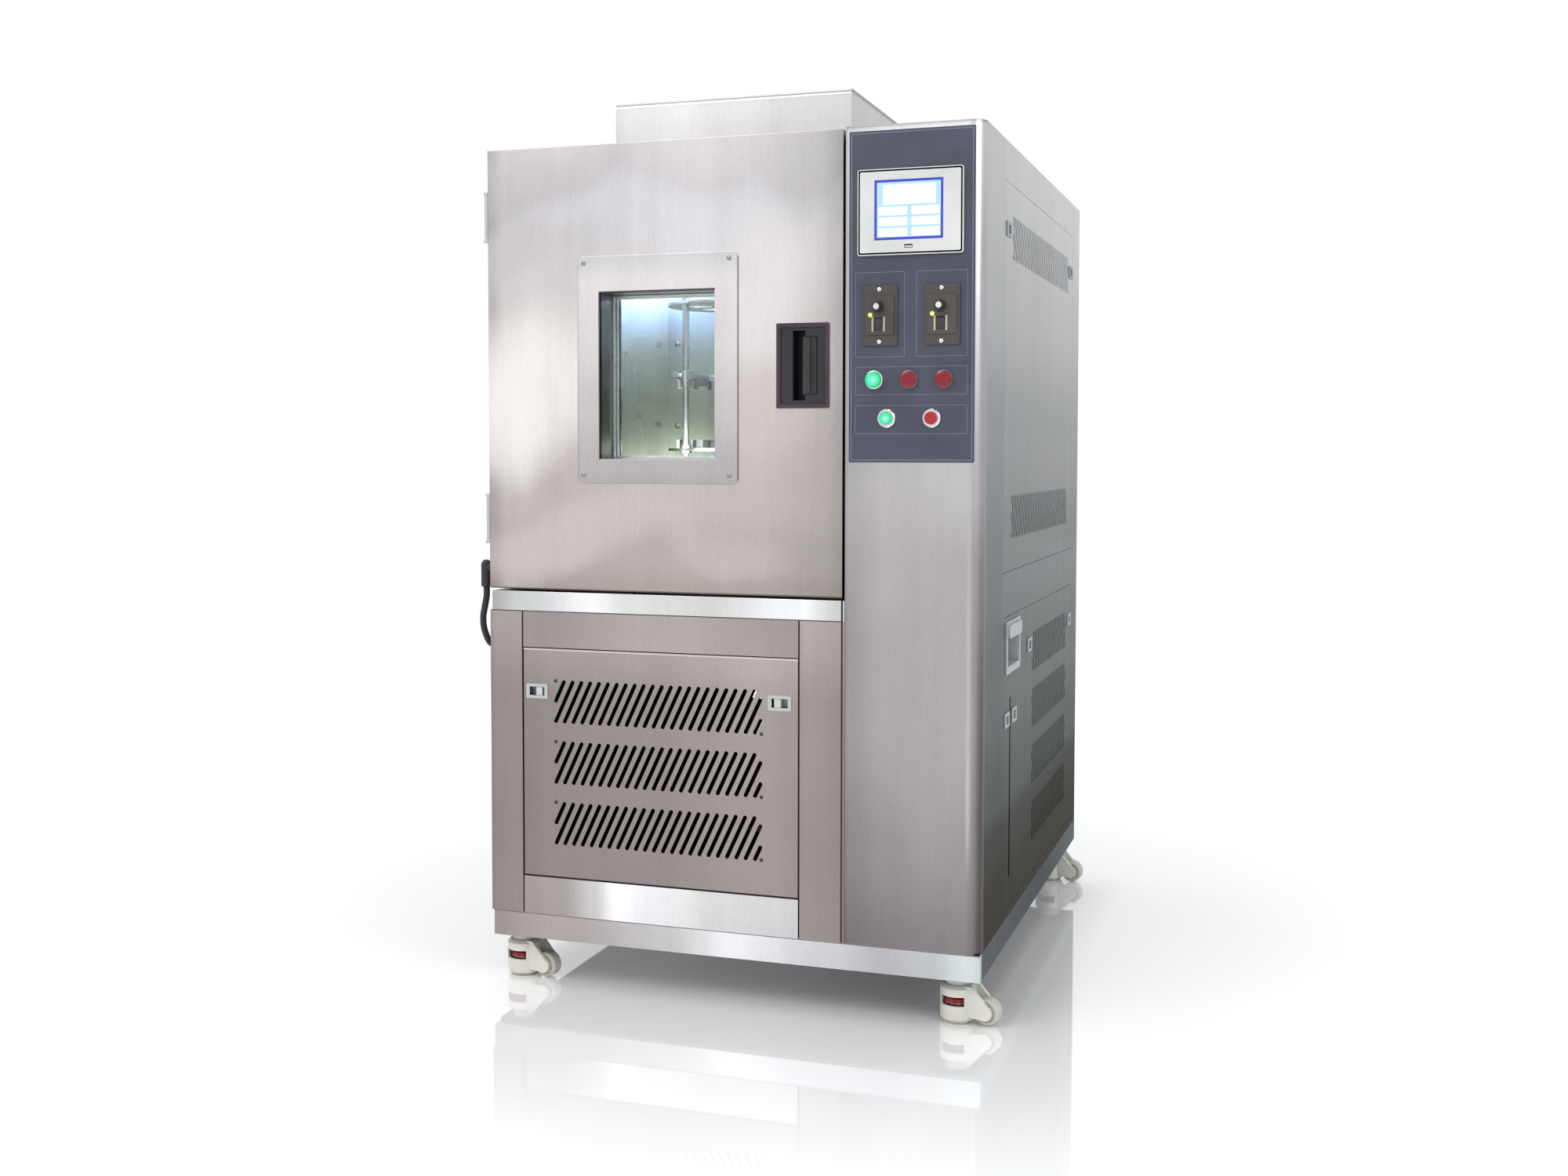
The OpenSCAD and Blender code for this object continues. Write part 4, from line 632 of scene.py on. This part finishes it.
# Which nodes wear each look
CORNERS = ("front_left", "front_right", "rear_left", "rear_right")
DRESS = {
    "base_steel": ["base_frame"],
    "front_steel": ["lower_front_frame"],
    "grille_steel": ["front_grille"],
    "column_steel": ["control_column"],
    "side_steel": ["right_side_frame", "upper_side_panel", "lower_side_panel", "water_panel"],
    "shell_steel": ["carcass", "rear_panel"],
    "roof_steel": ["motor_box"],
    "door_steel": ["door_skin"],
    "door_liner_steel": ["door_liner"],
    "window_plate_steel": ["window_frame"],
    "chamber_steel": ["chamber_liner", "air_baffle"],
    "window_glass": ["window_glass"],
    "insulation_board": ["chamber_insulation"],
    "motor_paint": ["drive_motors"],
    "machine_paint": ["condensing_unit", "condenser_fan"],
    "panel_paint": ["control_panel"],
    "bezel_plastic": ["touch_screen"],
    "bronze_grey_plastic": ["speed_controllers"],
    "chrome": ["pilot_lamps", "button_rings"],
    "zinc_plate": ["hinge_bases", "hinge_leaves", "rack_frame", "clamp_carrier", "circulation_fan"],
    "black_rubber": ["lead_gland", "door_lead", "lead_boot"],
    "gasket_rubber": ["door_gasket"],
    "side_latch_plastic": ["side_panel_latches"],
    "latch_plastic": ["grille_latch_left", "grille_latch_right"],
    "filler_plastic": ["water_filler"],
    "white_plastic": ["electrics"],
    "handle_enamel": ["latch_housing"],
    "dark_plastic": ["latch_paddle", "turntable_knob", "stretch_knob", "turntable_switch", "stretch_switch"],
    "green_cap": ["start_button"],
    "red_cap_plastic": ["stop_button"],
    "ivory_plastic": ["caster_housing_" + corner for corner in CORNERS],
    "wheel_nylon": ["caster_wheel_" + corner for corner in CORNERS],
    "foot_and_dial": ["levelling_foot_" + corner for corner in CORNERS],
}
for look, nodes in DRESS.items():
    for node in nodes:
        NODES[node].data.materials.clear()
        NODES[node].data.materials.append(looks[look])


def rounded(x0, x1, z0, z1, r, steps=6):
    """Corner points of a rectangle with round corners."""
    r = min(r, (x1 - x0) / 2, (z1 - z0) / 2)
    points = []
    middles = ((x1 - r, z1 - r), (x0 + r, z1 - r), (x0 + r, z0 + r), (x1 - r, z0 + r))
    for quarter, (cx, cz) in enumerate(middles):
        for k in range(steps + 1):
            angle = math.radians(90 * quarter + 90 * k / steps)
            points.append((cx + r * math.cos(angle), cz + r * math.sin(angle)))
    return points


def drawn_in(low, high, inset, r, steps=6):
    """The outline of a box in x and z, drawn in by inset, with round corners."""
    return rounded(low.x + inset, high.x - inset, low.z + inset, high.z - inset, r, steps)


def join_rings(bm, rings, closed=False):
    """Adds the faces between rings of equal length, and from the last ring to the first where closed."""
    n = len(rings[0])
    for a, b in zip(rings, rings[1:] + rings[:1] if closed else rings[1:]):
        for k in range(n):
            bm.faces.new((a[k], b[k], b[(k + 1) % n], a[(k + 1) % n]))


def plate(bm, outline, y0, y1, bevel=0.0, hole=None):
    """Adds an upright plate from y0 (front) to y1: its outline in x and z, and a bevelled rim or a hole."""
    def loop(points, y):
        return [bm.verts.new(at(x, y, z)) for x, z in points]

    if hole:
        join_rings(bm, [loop(outline, y0), loop(outline, y1), loop(hole, y1), loop(hole, y0)], closed=True)
        return
    front, back = loop(outline, y0), loop(outline, y1)
    face = bm.faces.new(front)
    bm.faces.new(list(reversed(back)))
    join_rings(bm, [front, back])
    if bevel:
        rim = list(face.edges)
        bmesh.ops.bevel(bm, geom=rim, offset=bevel / 1000, segments=3, profile=0.5, affect="EDGES")


def lathe(bm, profile, centre, segments):
    """Adds a turned form that points forward: profile is (radius, height) in mm from centre."""
    axis = Vector((0, -1, 0))
    side = axis.orthogonal().normalized()
    other = axis.cross(side)
    rings = []
    for r, h in profile:
        middle = centre + axis * h / 1000
        angles = [2 * math.pi * k / segments for k in range(segments if r else 1)]
        spokes = [side * math.cos(a) + other * math.sin(a) for a in angles]
        rings.append([bm.verts.new(middle + spoke * r / 1000) for spoke in spokes])
    for low, high in zip(rings, rings[1:]):
        for k in range(segments):
            turn = (k + 1) % segments
            ends = (high[turn], high[k]) if len(high) > 1 else (high[0],)
            bm.faces.new((low[k], low[turn], *ends))


def mesh_of(name, bm):
    """The finished mesh of a form under way, with its faces turned outward."""
    bmesh.ops.recalc_face_normals(bm, faces=bm.faces)
    mesh = bpy.data.meshes.new(name)
    bm.to_mesh(mesh)
    bm.free()
    return mesh


def shown(name, mesh, look):
    """An object of the scene, smooth, with its material and slot."""
    obj = bpy.data.objects.new(name, mesh)
    bpy.context.scene.collection.objects.link(obj)
    mesh.materials.append(looks[look])
    for face in mesh.polygons:
        face.use_smooth = True
    return obj


def piece(name, bm, look, body, smooth_angle=35):
    """A piece that rides on a body, smooth but for edges sharper than the angle."""
    mesh = mesh_of(name, bm)
    mesh.set_sharp_from_angle(angle=math.radians(smooth_angle))
    obj = shown(name, mesh, look)
    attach(obj, body)
    return obj


def turned(name, profile, centre, look, body, segments=40):
    """A turned piece that points forward."""
    bm = bmesh.new()
    lathe(bm, profile, centre, segments)
    return piece(name, bm, look, body)


# The door's lead, along the same points as its solid
LEAD_POINTS = [
    (-20, 24, 593.7), (-20, 24, 578), (-24, 25, 560), (-29, 28, 541), (-31, 34, 522),
    (-31, 44, 505), (-32, 56, 494), (-33, 68, 490), (-31, 80, 489.5), (-26, 90, 490),
    (-19, 95.5, 490), (-15, 96, 490), (-12, 96, 490), (-9, 96, 490),
]
LEAD_R = 5.5
LEAD_STEPS = 8


def spline(points, steps):
    """The same smooth route as the lead's solid."""
    points = [Vector(point) for point in (points[0], *points, points[-1])]
    out = []
    for a, b, c, d in zip(points, points[1:], points[2:], points[3:]):
        square, cube = 2 * a - 5 * b + 4 * c - d, 3 * b - a - 3 * c + d
        for t in (k / steps for k in range(steps)):
            out.append(0.5 * (2 * b + (c - a) * t + square * t * t + cube * t ** 3))
    return out + [points[-1]]


def tube(bm, points, radius, sides=20):
    """Adds a closed tube along points, in mm."""
    rings = []
    for before, point, after in zip((points[0], *points), points, (*points[1:], points[-1])):
        along = (after - before).normalized()
        u = along.cross(Vector((0.3, 1, 0.2))).normalized()
        v = along.cross(u)
        angles = [2 * math.pi * k / sides for k in range(sides)]
        spokes = [math.cos(a) * u + math.sin(a) * v for a in angles]
        rings.append([bm.verts.new(at(*(point + radius * spoke))) for spoke in spokes])
    join_rings(bm, rings)
    bm.faces.new(list(reversed(rings[0])))
    bm.faces.new(rings[-1])


bm = bmesh.new()
tube(bm, spline(LEAD_POINTS, LEAD_STEPS), LEAD_R)
lead = shown("door_lead_sheath", mesh_of("door_lead_sheath", bm), "black_rubber")
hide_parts("door_lead")
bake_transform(lead)

# Pilot lamps: profiles of ring and lens, as radius and height in mm, like all profiles below
LAMP_RING = [
    (9.5, -28), (9.5, -0.5), (RING_R, -0.2), (RING_R, 1.3), (14.2, 2.0), (13.2, 2.4), (11.0, 2.4),
    (10.6, 1.0), (9.0, 0.8), (0, 0.8),
]
LAMP_LENS = [
    (10.2, 0.9), (10.2, 2.6), (13.0, 2.9), (13.0, 6.6), (12.5, 7.8), (11.2, 8.6), (8.0, 8.95),
    (4.0, 9.05), (0, 9.1),
]
lamp_looks = (("chrome", "green_lens"), ("dark_plated_ring", "red_lens"), ("dark_plated_ring", "red_lens"))
for k, (x, (ring_look, lens_look)) in enumerate(zip(lamp_spots, lamp_looks)):
    centre = at(x, panel_face, lamp_z)
    turned(f"lamp_ring_{k}", LAMP_RING, centre, ring_look, "cabinet")
    lens = turned(f"lamp_lens_{k}", LAMP_LENS, centre, lens_look, "cabinet")
    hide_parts("pilot_lamps")

# Operator screen, in three layers, with the rim of its bezel and the cover of its port
LAYER = 0.15
VIEW_W = 109
VIEW_H = 92.5
TILE_H = 12.4
TILE_PITCH = 16.2
screen_low, screen_high = near("touch_screen")
view_x0 = screen_low.x + 27
view_x1 = view_x0 + VIEW_W
view_z0 = screen_low.z + 23
view_z1 = view_z0 + VIEW_H
view_y = screen_low.y + 0.8


def screen_area(bm, layer, x0, x1, z0, z1, r=0.5, steps=2):
    """Adds a lit area of the screen in its layer."""
    plate(bm, rounded(x0, x1, z0, z1, r, steps), view_y - LAYER * (layer + 1), view_y - LAYER * layer)


for layer, name, inset in ((0, "screen_border", 0.1), (1, "screen_ground", 4)):
    bm = bmesh.new()
    screen_area(bm, layer, view_x0 + inset, view_x1 - inset, view_z0 + inset, view_z1 - inset)
    piece(name, bm, name, "cabinet")
bm = bmesh.new()
screen_area(bm, 2, view_x0 + 14, view_x1 - 12, view_z1 - 38, view_z1 - 8, 0.6, 3)
for row in range(3):
    top = view_z1 - 42 - TILE_PITCH * row
    for x0, x1 in ((view_x0 + 7, view_x0 + 52), (view_x0 + 59.5, view_x1 - 6)):
        screen_area(bm, 2, x0, x1, top - TILE_H, top, 0.6, 3)
piece("screen_tiles", bm, "screen_tile", "cabinet")

bm = bmesh.new()
plate(bm, drawn_in(screen_low, screen_high, 1.5, 3), screen_low.y, screen_low.y + 0.5,
      hole=drawn_in(screen_low, screen_high, 4, 2))
piece("screen_bezel_rim", bm, "white_plastic", "cabinet")
bm = bmesh.new()
cover = rounded(view_x0 + 48, view_x0 + 61, view_z0 - 13, view_z0 - 7, 1)
opening = rounded(view_x0 + 49, view_x0 + 60, view_z0 - 12, view_z0 - 9.5, 0.4)
plate(bm, cover, screen_low.y - 0.1, screen_low.y + 0.4, hole=opening)
piece("screen_port_cover", bm, "dark_plastic", "cabinet")

# Printed lines of the control panel: a border, and frames round its devices. Each frame is given by its left
# and right edge from the panel's middle, and its low and high edge from the panel's top
LINE_W = 0.6
BORDER_W = 1.0
BORDER_INSET = 3.2
PRINT_T = 0.12
LINE_FRAMES = (
    (-89.5, -10.5, -349.5, -218),
    (8, 88.8, -349.5, -218),
    (-89.4, 88.8, -408.5, -364.5),
    (-89.4, 88.8, -469, -424.5),
)


def line_frame(bm, x0, x1, z0, z1, width):
    """Adds a printed frame."""
    plate(bm, rounded(x0, x1, z0, z1, 1.5, 4), panel_face - PRINT_T, panel_face,
          hole=rounded(x0 + width, x1 - width, z0 + width, z1 - width, 1, 4))


bm = bmesh.new()
line_frame(bm, panel_low.x + BORDER_INSET, panel_high.x - BORDER_INSET,
           panel_low.z + BORDER_INSET, panel_high.z - BORDER_INSET, BORDER_W)
for left, right, low, high in LINE_FRAMES:
    line_frame(bm, panel_x + left, panel_x + right, panel_top + low, panel_top + high, LINE_W)
piece("panel_lines", bm, "pale_print", "cabinet")

# Speed controllers: plate screws, knob, scale, status light and the bars beside the switch
CONTROLLER_OUT = 49.3
CONTROLLER_DOWN = 285.5
CONTROLLER_T = 5
SCREW_REACH = 40.5
PLATE_SCREW = [(3.6, 0.02), (3.6, 0.7), (3.1, 1.5), (2.0, 2.0), (0.9, 2.15), (0, 2.15)]
KNOB_Y = -7.3
KNOB_GRIP = [
    (3.0, -11), (3.0, -0.3), (9.0, -0.3), (9.5, 0.2), (9.5, 2.6), (9.0, 3.2), (8.3, 3.4), (7.9, 10.2),
    (7.4, 11.2), (6.3, 11.55),
]
KNOB_CAP = [(4.6, 11.5), (4.6, 11.62), (4.2, 11.7), (0, 11.7)]
SKIRT_TOP = 3.3
FLUTED_R = 7
FLUTES = 48
FLUTE_DEPTH = 0.035
POINTER_FROM = 5.6
POINTER_TO = 1.5
POINTER_HALF = 0.5
POINTER_BACK = 11.6
POINTER_FRONT = 11.69
SCALE_MARKS = 11
SCALE_START = 225
SCALE_STEP = 27
MARK_FROM = 11.2
MARK_TO = 13.2
LONG_MARK_TO = 14.0
MARK_HALF = 0.25
MARK_T = 0.1
STATUS_LIGHT = [(3.2, 0), (3.2, 0.8), (2.8, 1.6), (1.9, 2.2), (0, 2.4)]
SWITCH_LEFT = 1.9
SWITCH_DOWN = 13.4
BAR_OUT = 9.2
BAR_H = 23
BAR_W = 3


def strip(x0, z0, x1, z1, half):
    """Corner points of a narrow strip from one point to another, with half its width."""
    along = Vector((x1 - x0, z1 - z0)).normalized() * half
    return [(x0 - along.y, z0 + along.x), (x1 - along.y, z1 + along.x),
            (x1 + along.y, z1 - along.x), (x0 + along.y, z0 - along.x)]


def knob_grip(bm, centre):
    """Adds a skirt with a fluted grip above it."""
    steps = FLUTES * 2
    rings = []
    for radius, h in KNOB_GRIP:
        depth = FLUTE_DEPTH if h > SKIRT_TOP and radius > FLUTED_R else 0
        ring = []
        for k in range(steps):
            angle = math.pi * k / FLUTES
            r = radius * (1 - depth * (k % 2))
            spoke = Vector((math.cos(angle) * r, -h, math.sin(angle) * r))
            ring.append(bm.verts.new(centre + spoke / 1000))
        rings.append(ring)
    join_rings(bm, rings)
    bm.faces.new(rings[-1])
    bm.faces.new(list(reversed(rings[0])))


def scale(bm, cx, cz, face):
    """Adds the printed marks round a knob, with every fifth one longer."""
    for k in range(SCALE_MARKS):
        angle = math.radians(SCALE_START - SCALE_STEP * k)
        ux, uz = math.cos(angle), math.sin(angle)
        reach = MARK_TO if k % 5 else LONG_MARK_TO
        mark = strip(cx + ux * MARK_FROM, cz + uz * MARK_FROM, cx + ux * reach, cz + uz * reach, MARK_HALF)
        plate(bm, mark, face - MARK_T, face)


for side, body in ((-1, "turntable"), (1, "stretch")):
    knob_low, knob_high = near(body + "_knob")
    cx = (knob_low.x + knob_high.x) / 2
    cz = (knob_low.z + knob_high.z) / 2
    mid_x = panel_x + side * CONTROLLER_OUT
    mid_z = panel_top - CONTROLLER_DOWN
    raised = panel_face - CONTROLLER_T
    for k, dz in enumerate((-SCREW_REACH, SCREW_REACH)):
        spot = at(mid_x - 1, panel_face - 3, mid_z + dz)
        turned(f"{body}_plate_screw_{k}", PLATE_SCREW, spot, "chrome", "cabinet", 24)
    centre = at(cx, KNOB_Y, cz)
    bm = bmesh.new()
    knob_grip(bm, centre)
    knob = piece(f"{body}_knob_grip", bm, "dark_plastic", body + "_knob", 25)
    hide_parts(body + "_knob")
    bm = bmesh.new()
    lathe(bm, KNOB_CAP, centre, 32)
    pointer = strip(cx, cz + POINTER_FROM, cx, cz + POINTER_TO, POINTER_HALF)
    plate(bm, pointer, KNOB_Y - POINTER_FRONT, KNOB_Y - POINTER_BACK)
    piece(f"{body}_knob_cap", bm, "white_plastic", body + "_knob")
    bm = bmesh.new()
    scale(bm, cx, cz, raised)
    piece(f"{body}_scale", bm, "pale_print", "cabinet")
    spot = at(cx - 12.3, raised, cz - 12.2)
    turned(f"{body}_status_light", STATUS_LIGHT, spot, "status_light", "cabinet", 24)
    bm = bmesh.new()
    bar_z = mid_z - SWITCH_DOWN
    for out in (-BAR_OUT, BAR_OUT):
        bar_x = mid_x - SWITCH_LEFT + out
        bar = rounded(bar_x - BAR_W / 2, bar_x + BAR_W / 2, bar_z - BAR_H / 2, bar_z + BAR_H / 2, 0.6, 3)
        plate(bm, bar, raised - 0.7, raised, 0.2)
    piece(f"{body}_switch_bars", bm, "beige_plastic", "cabinet")

# Screws of the window plate
WINDOW_SCREW = [(4.2, 0.02), (4.2, 0.5), (3.8, 1.2), (2.6, 1.8), (1.2, 2.05), (0, 2.1)]
frame_low, frame_high = near("window_frame")
screw_x = (frame_low.x + 11, frame_high.x - 14.5)
screw_z = (frame_low.z + 14, frame_high.z - 11)
for k, (x, z) in enumerate((x, z) for x in screw_x for z in screw_z):
    turned(f"window_screw_{k}", WINDOW_SCREW, at(x, frame_low.y, z), "dull_screw", "door", 28)

# Round holes at the corners of the grille's slot rows, drawn as dark discs of painted shade on its face
GRILLE_FACE = 0.5
SLOT_ROWS = 3
SLOT_ROW_PITCH = 102.6
CORNER_HOLES = ((121.2, 440.1), (486.4, 370.4))
HOLE_R = 3.2
bm = bmesh.new()
for row in range(SLOT_ROWS):
    for x, top in CORNER_HOLES:
        z = top - SLOT_ROW_PITCH * row
        disc = rounded(x - HOLE_R, x + HOLE_R, z - HOLE_R, z + HOLE_R, HOLE_R - 0.05, 5)
        plate(bm, disc, GRILLE_FACE - 0.12, GRILLE_FACE - 0.01, 0.04)
piece("grille_corner_holes", bm, "dark_plastic", "grille")

# Seal between the base's left flange and the left wall
SEAL_X = (1.6, 6)
SEAL_Z = (42.7, 45.6)
SEAL_Y = (17, 1008)
bm = bmesh.new()
plate(bm, rounded(*SEAL_X, *SEAL_Z, 1.1, 4), *SEAL_Y, 0.4)
piece("base_seal", bm, "black_rubber", "cabinet")

# Bolts of the air baffle
BAFFLE_BOLT = [(6.0, 0.02), (6.0, 1.0), (5.0, 2.6), (3.0, 3.6), (0, 3.9)]
BOLT_INSET = 21
BOLT_ROWS = 4
BOLT_Z = 713
BOLT_PITCH = 165
baffle_low, baffle_high = near("air_baffle")
bolt_x = (baffle_low.x + BOLT_INSET, baffle_high.x - BOLT_INSET)
for k, (x, row) in enumerate((x, row) for x in bolt_x for row in range(BOLT_ROWS)):
    spot = at(x, baffle_low.y, BOLT_Z + BOLT_PITCH * row)
    turned(f"baffle_bolt_{k}", BAFFLE_BOLT, spot, "dull_screw", "cabinet", 24)

# Spacer bars of the double window: front, back and width of each
PANE_LAP = 8.3
SPACERS = ((50, 54, 2.6), (58, 66, 4.2))
pane_low, pane_high = near("window_glass")
for k, (y0, y1, wide) in enumerate(SPACERS):
    bm = bmesh.new()
    outline = drawn_in(pane_low, pane_high, PANE_LAP, 1, 3)
    plate(bm, outline, y0, y1, hole=drawn_in(pane_low, pane_high, PANE_LAP + wide, 1, 3))
    piece(f"window_spacer_{k}", bm, "spacer_aluminium", "door")

# Floor: white, with a reflection that fades towards the front. Its reach is in metres, the cabinet's middle
# in mm, as are all places in its material
FLOOR_REACH = 14
MIDDLE_Y = 500
corners = [(sx * FLOOR_REACH, sy * FLOOR_REACH, 0) for sx, sy in ((-1, -1), (1, -1), (1, 1), (-1, 1))]
floor_mesh = bpy.data.meshes.new("floor")
floor_mesh.from_pydata(corners, [], [(0, 1, 2, 3)])
floor = bpy.data.objects.new("floor", floor_mesh)
bpy.context.scene.collection.objects.link(floor)


def floor_white():
    """White floor: dull with a share of mirror near the cabinet, and plain white far off."""
    t = material("floor_white")
    x, y, _ = t.axes()
    base = t.blend(t.span(t.noise(3), 0.3, 0.7), (0.88, 0.88, 0.88), (0.90, 0.90, 0.90))
    ground = t.node("ShaderNodeBsdfPrincipled", Roughness=0.6)
    t.put(ground.inputs["Base Color"], base)
    ground.inputs["Specular IOR Level"].default_value = 0.0
    mirror = t.node("ShaderNodeBsdfGlossy", Color=(1.0, 1.0, 1.0), Roughness=0.035)
    shiny = t.mix(t.span(y, -1000, 40, 0.0, 0.40, soft=True), ground, mirror)

    # Light of its own, only as seen: stronger further off, weaker under the cabinet's right half
    path = t.node("ShaderNodeLightPath")
    seen = t.math("MAXIMUM", path.outputs["Is Camera Ray"], path.outputs["Is Glossy Ray"])
    seen = t.math("MAXIMUM", seen, path.outputs["Is Transmission Ray"])
    far = t.math("SQRT", t.squares(t.math("SUBTRACT", x, BODY_W / 2), t.math("SUBTRACT", y, MIDDLE_Y)))
    # The weaker glow under the cabinet's right half is painted shadow
    under = t.times(t.span(y, -80, 140, soft=True), t.span(y, 850, 1050, 1, 0))
    under = t.times(under, t.times(t.span(x, 250, 860, 0.02, 0.13), t.span(x, 860, 960, 1, 0)))
    lift = t.math("SUBTRACT", t.span(far, 700, 2400, 0.17, 0.44, soft=True), under)
    white = t.node("ShaderNodeEmission", Color=(1.0, 1.0, 1.0), Strength=t.times(seen, lift))
    both = t.nodes.new("ShaderNodeAddShader")
    t.link(shiny.outputs[0], both.inputs[0])
    t.link(white.outputs[0], both.inputs[1])
    plain = t.node("ShaderNodeEmission", Color=(1.0, 1.0, 1.0), Strength=1.0)
    return t.finish(t.mix(t.times(seen, t.span(far, 2000, 4000, soft=True)), both, plain))


floor_mesh.materials.append(floor_white())


def studio():
    """White as seen, dimmer as a light, and greyer towards the ground in reflections."""
    t = Tree(bpy.data.worlds.new("studio"), "ShaderNodeOutputWorld")
    path = t.nodes.new("ShaderNodeLightPath")
    seen = t.math("MAXIMUM", path.outputs["Is Camera Ray"], path.outputs["Is Transmission Ray"])
    parts = t.node("ShaderNodeSeparateXYZ", Vector=t.places.outputs["Generated"])
    band = t.nodes.new("ShaderNodeValToRGB")
    t.link(t.span(parts.outputs["Z"], -1, 1), band.inputs[0])
    stops = ((0.40, (0.80, 0.78, 0.77, 1)), (0.62, (0.88, 0.88, 0.89, 1)))
    for element, (place, colour) in zip(band.color_ramp.elements, stops):
        element.position = place
        element.color = colour
    room = t.node("ShaderNodeBackground", Color=(0.93, 0.96, 1.0), Strength=0.62)
    mirrored = t.node("ShaderNodeBackground", Color=band.outputs["Color"], Strength=1.0)
    white = t.node("ShaderNodeBackground", Color=(1, 1, 1), Strength=1.0)
    return t.finish(t.mix(seen, t.mix(path.outputs["Is Glossy Ray"], room, mirrored), white))


bpy.context.scene.world = studio()


def area_light(name, place, target, size, power, color=(1, 1, 1)):
    """A lamp at a place, turned to a target: width and height in metres, power in watts."""
    data = bpy.data.lights.new(name, "AREA")
    data.shape = "RECTANGLE"
    data.size, data.size_y = size
    data.energy = power
    data.color = color
    obj = bpy.data.objects.new(name, data)
    bpy.context.scene.collection.objects.link(obj)
    obj.location = place
    obj.rotation_euler = (Vector(target) - Vector(place)).to_track_quat("-Z", "Y").to_euler()


area_light("key", (-1.8, -3.2, 3.6), (0, 0, 0.8), (2.4, 2.0), 56)
area_light("fill", (3.2, -2.4, 2.6), (0, 0, 0.7), (2.4, 2.4), 34, (0.96, 0.98, 1.0))
area_light("top", (0, 0.2, 4.2), (0, 0, 0), (3.0, 3.0), 52)
area_light("chamber_lamp", at(316, 200, 1240), at(316, 330, 700), (0.34, 0.12), 5, (0.90, 0.95, 1.0))
area_light("chamber_fill", at(300, 170, 760), at(200, 600, 900), (0.30, 0.20), 1.0, (1.0, 0.99, 0.93))
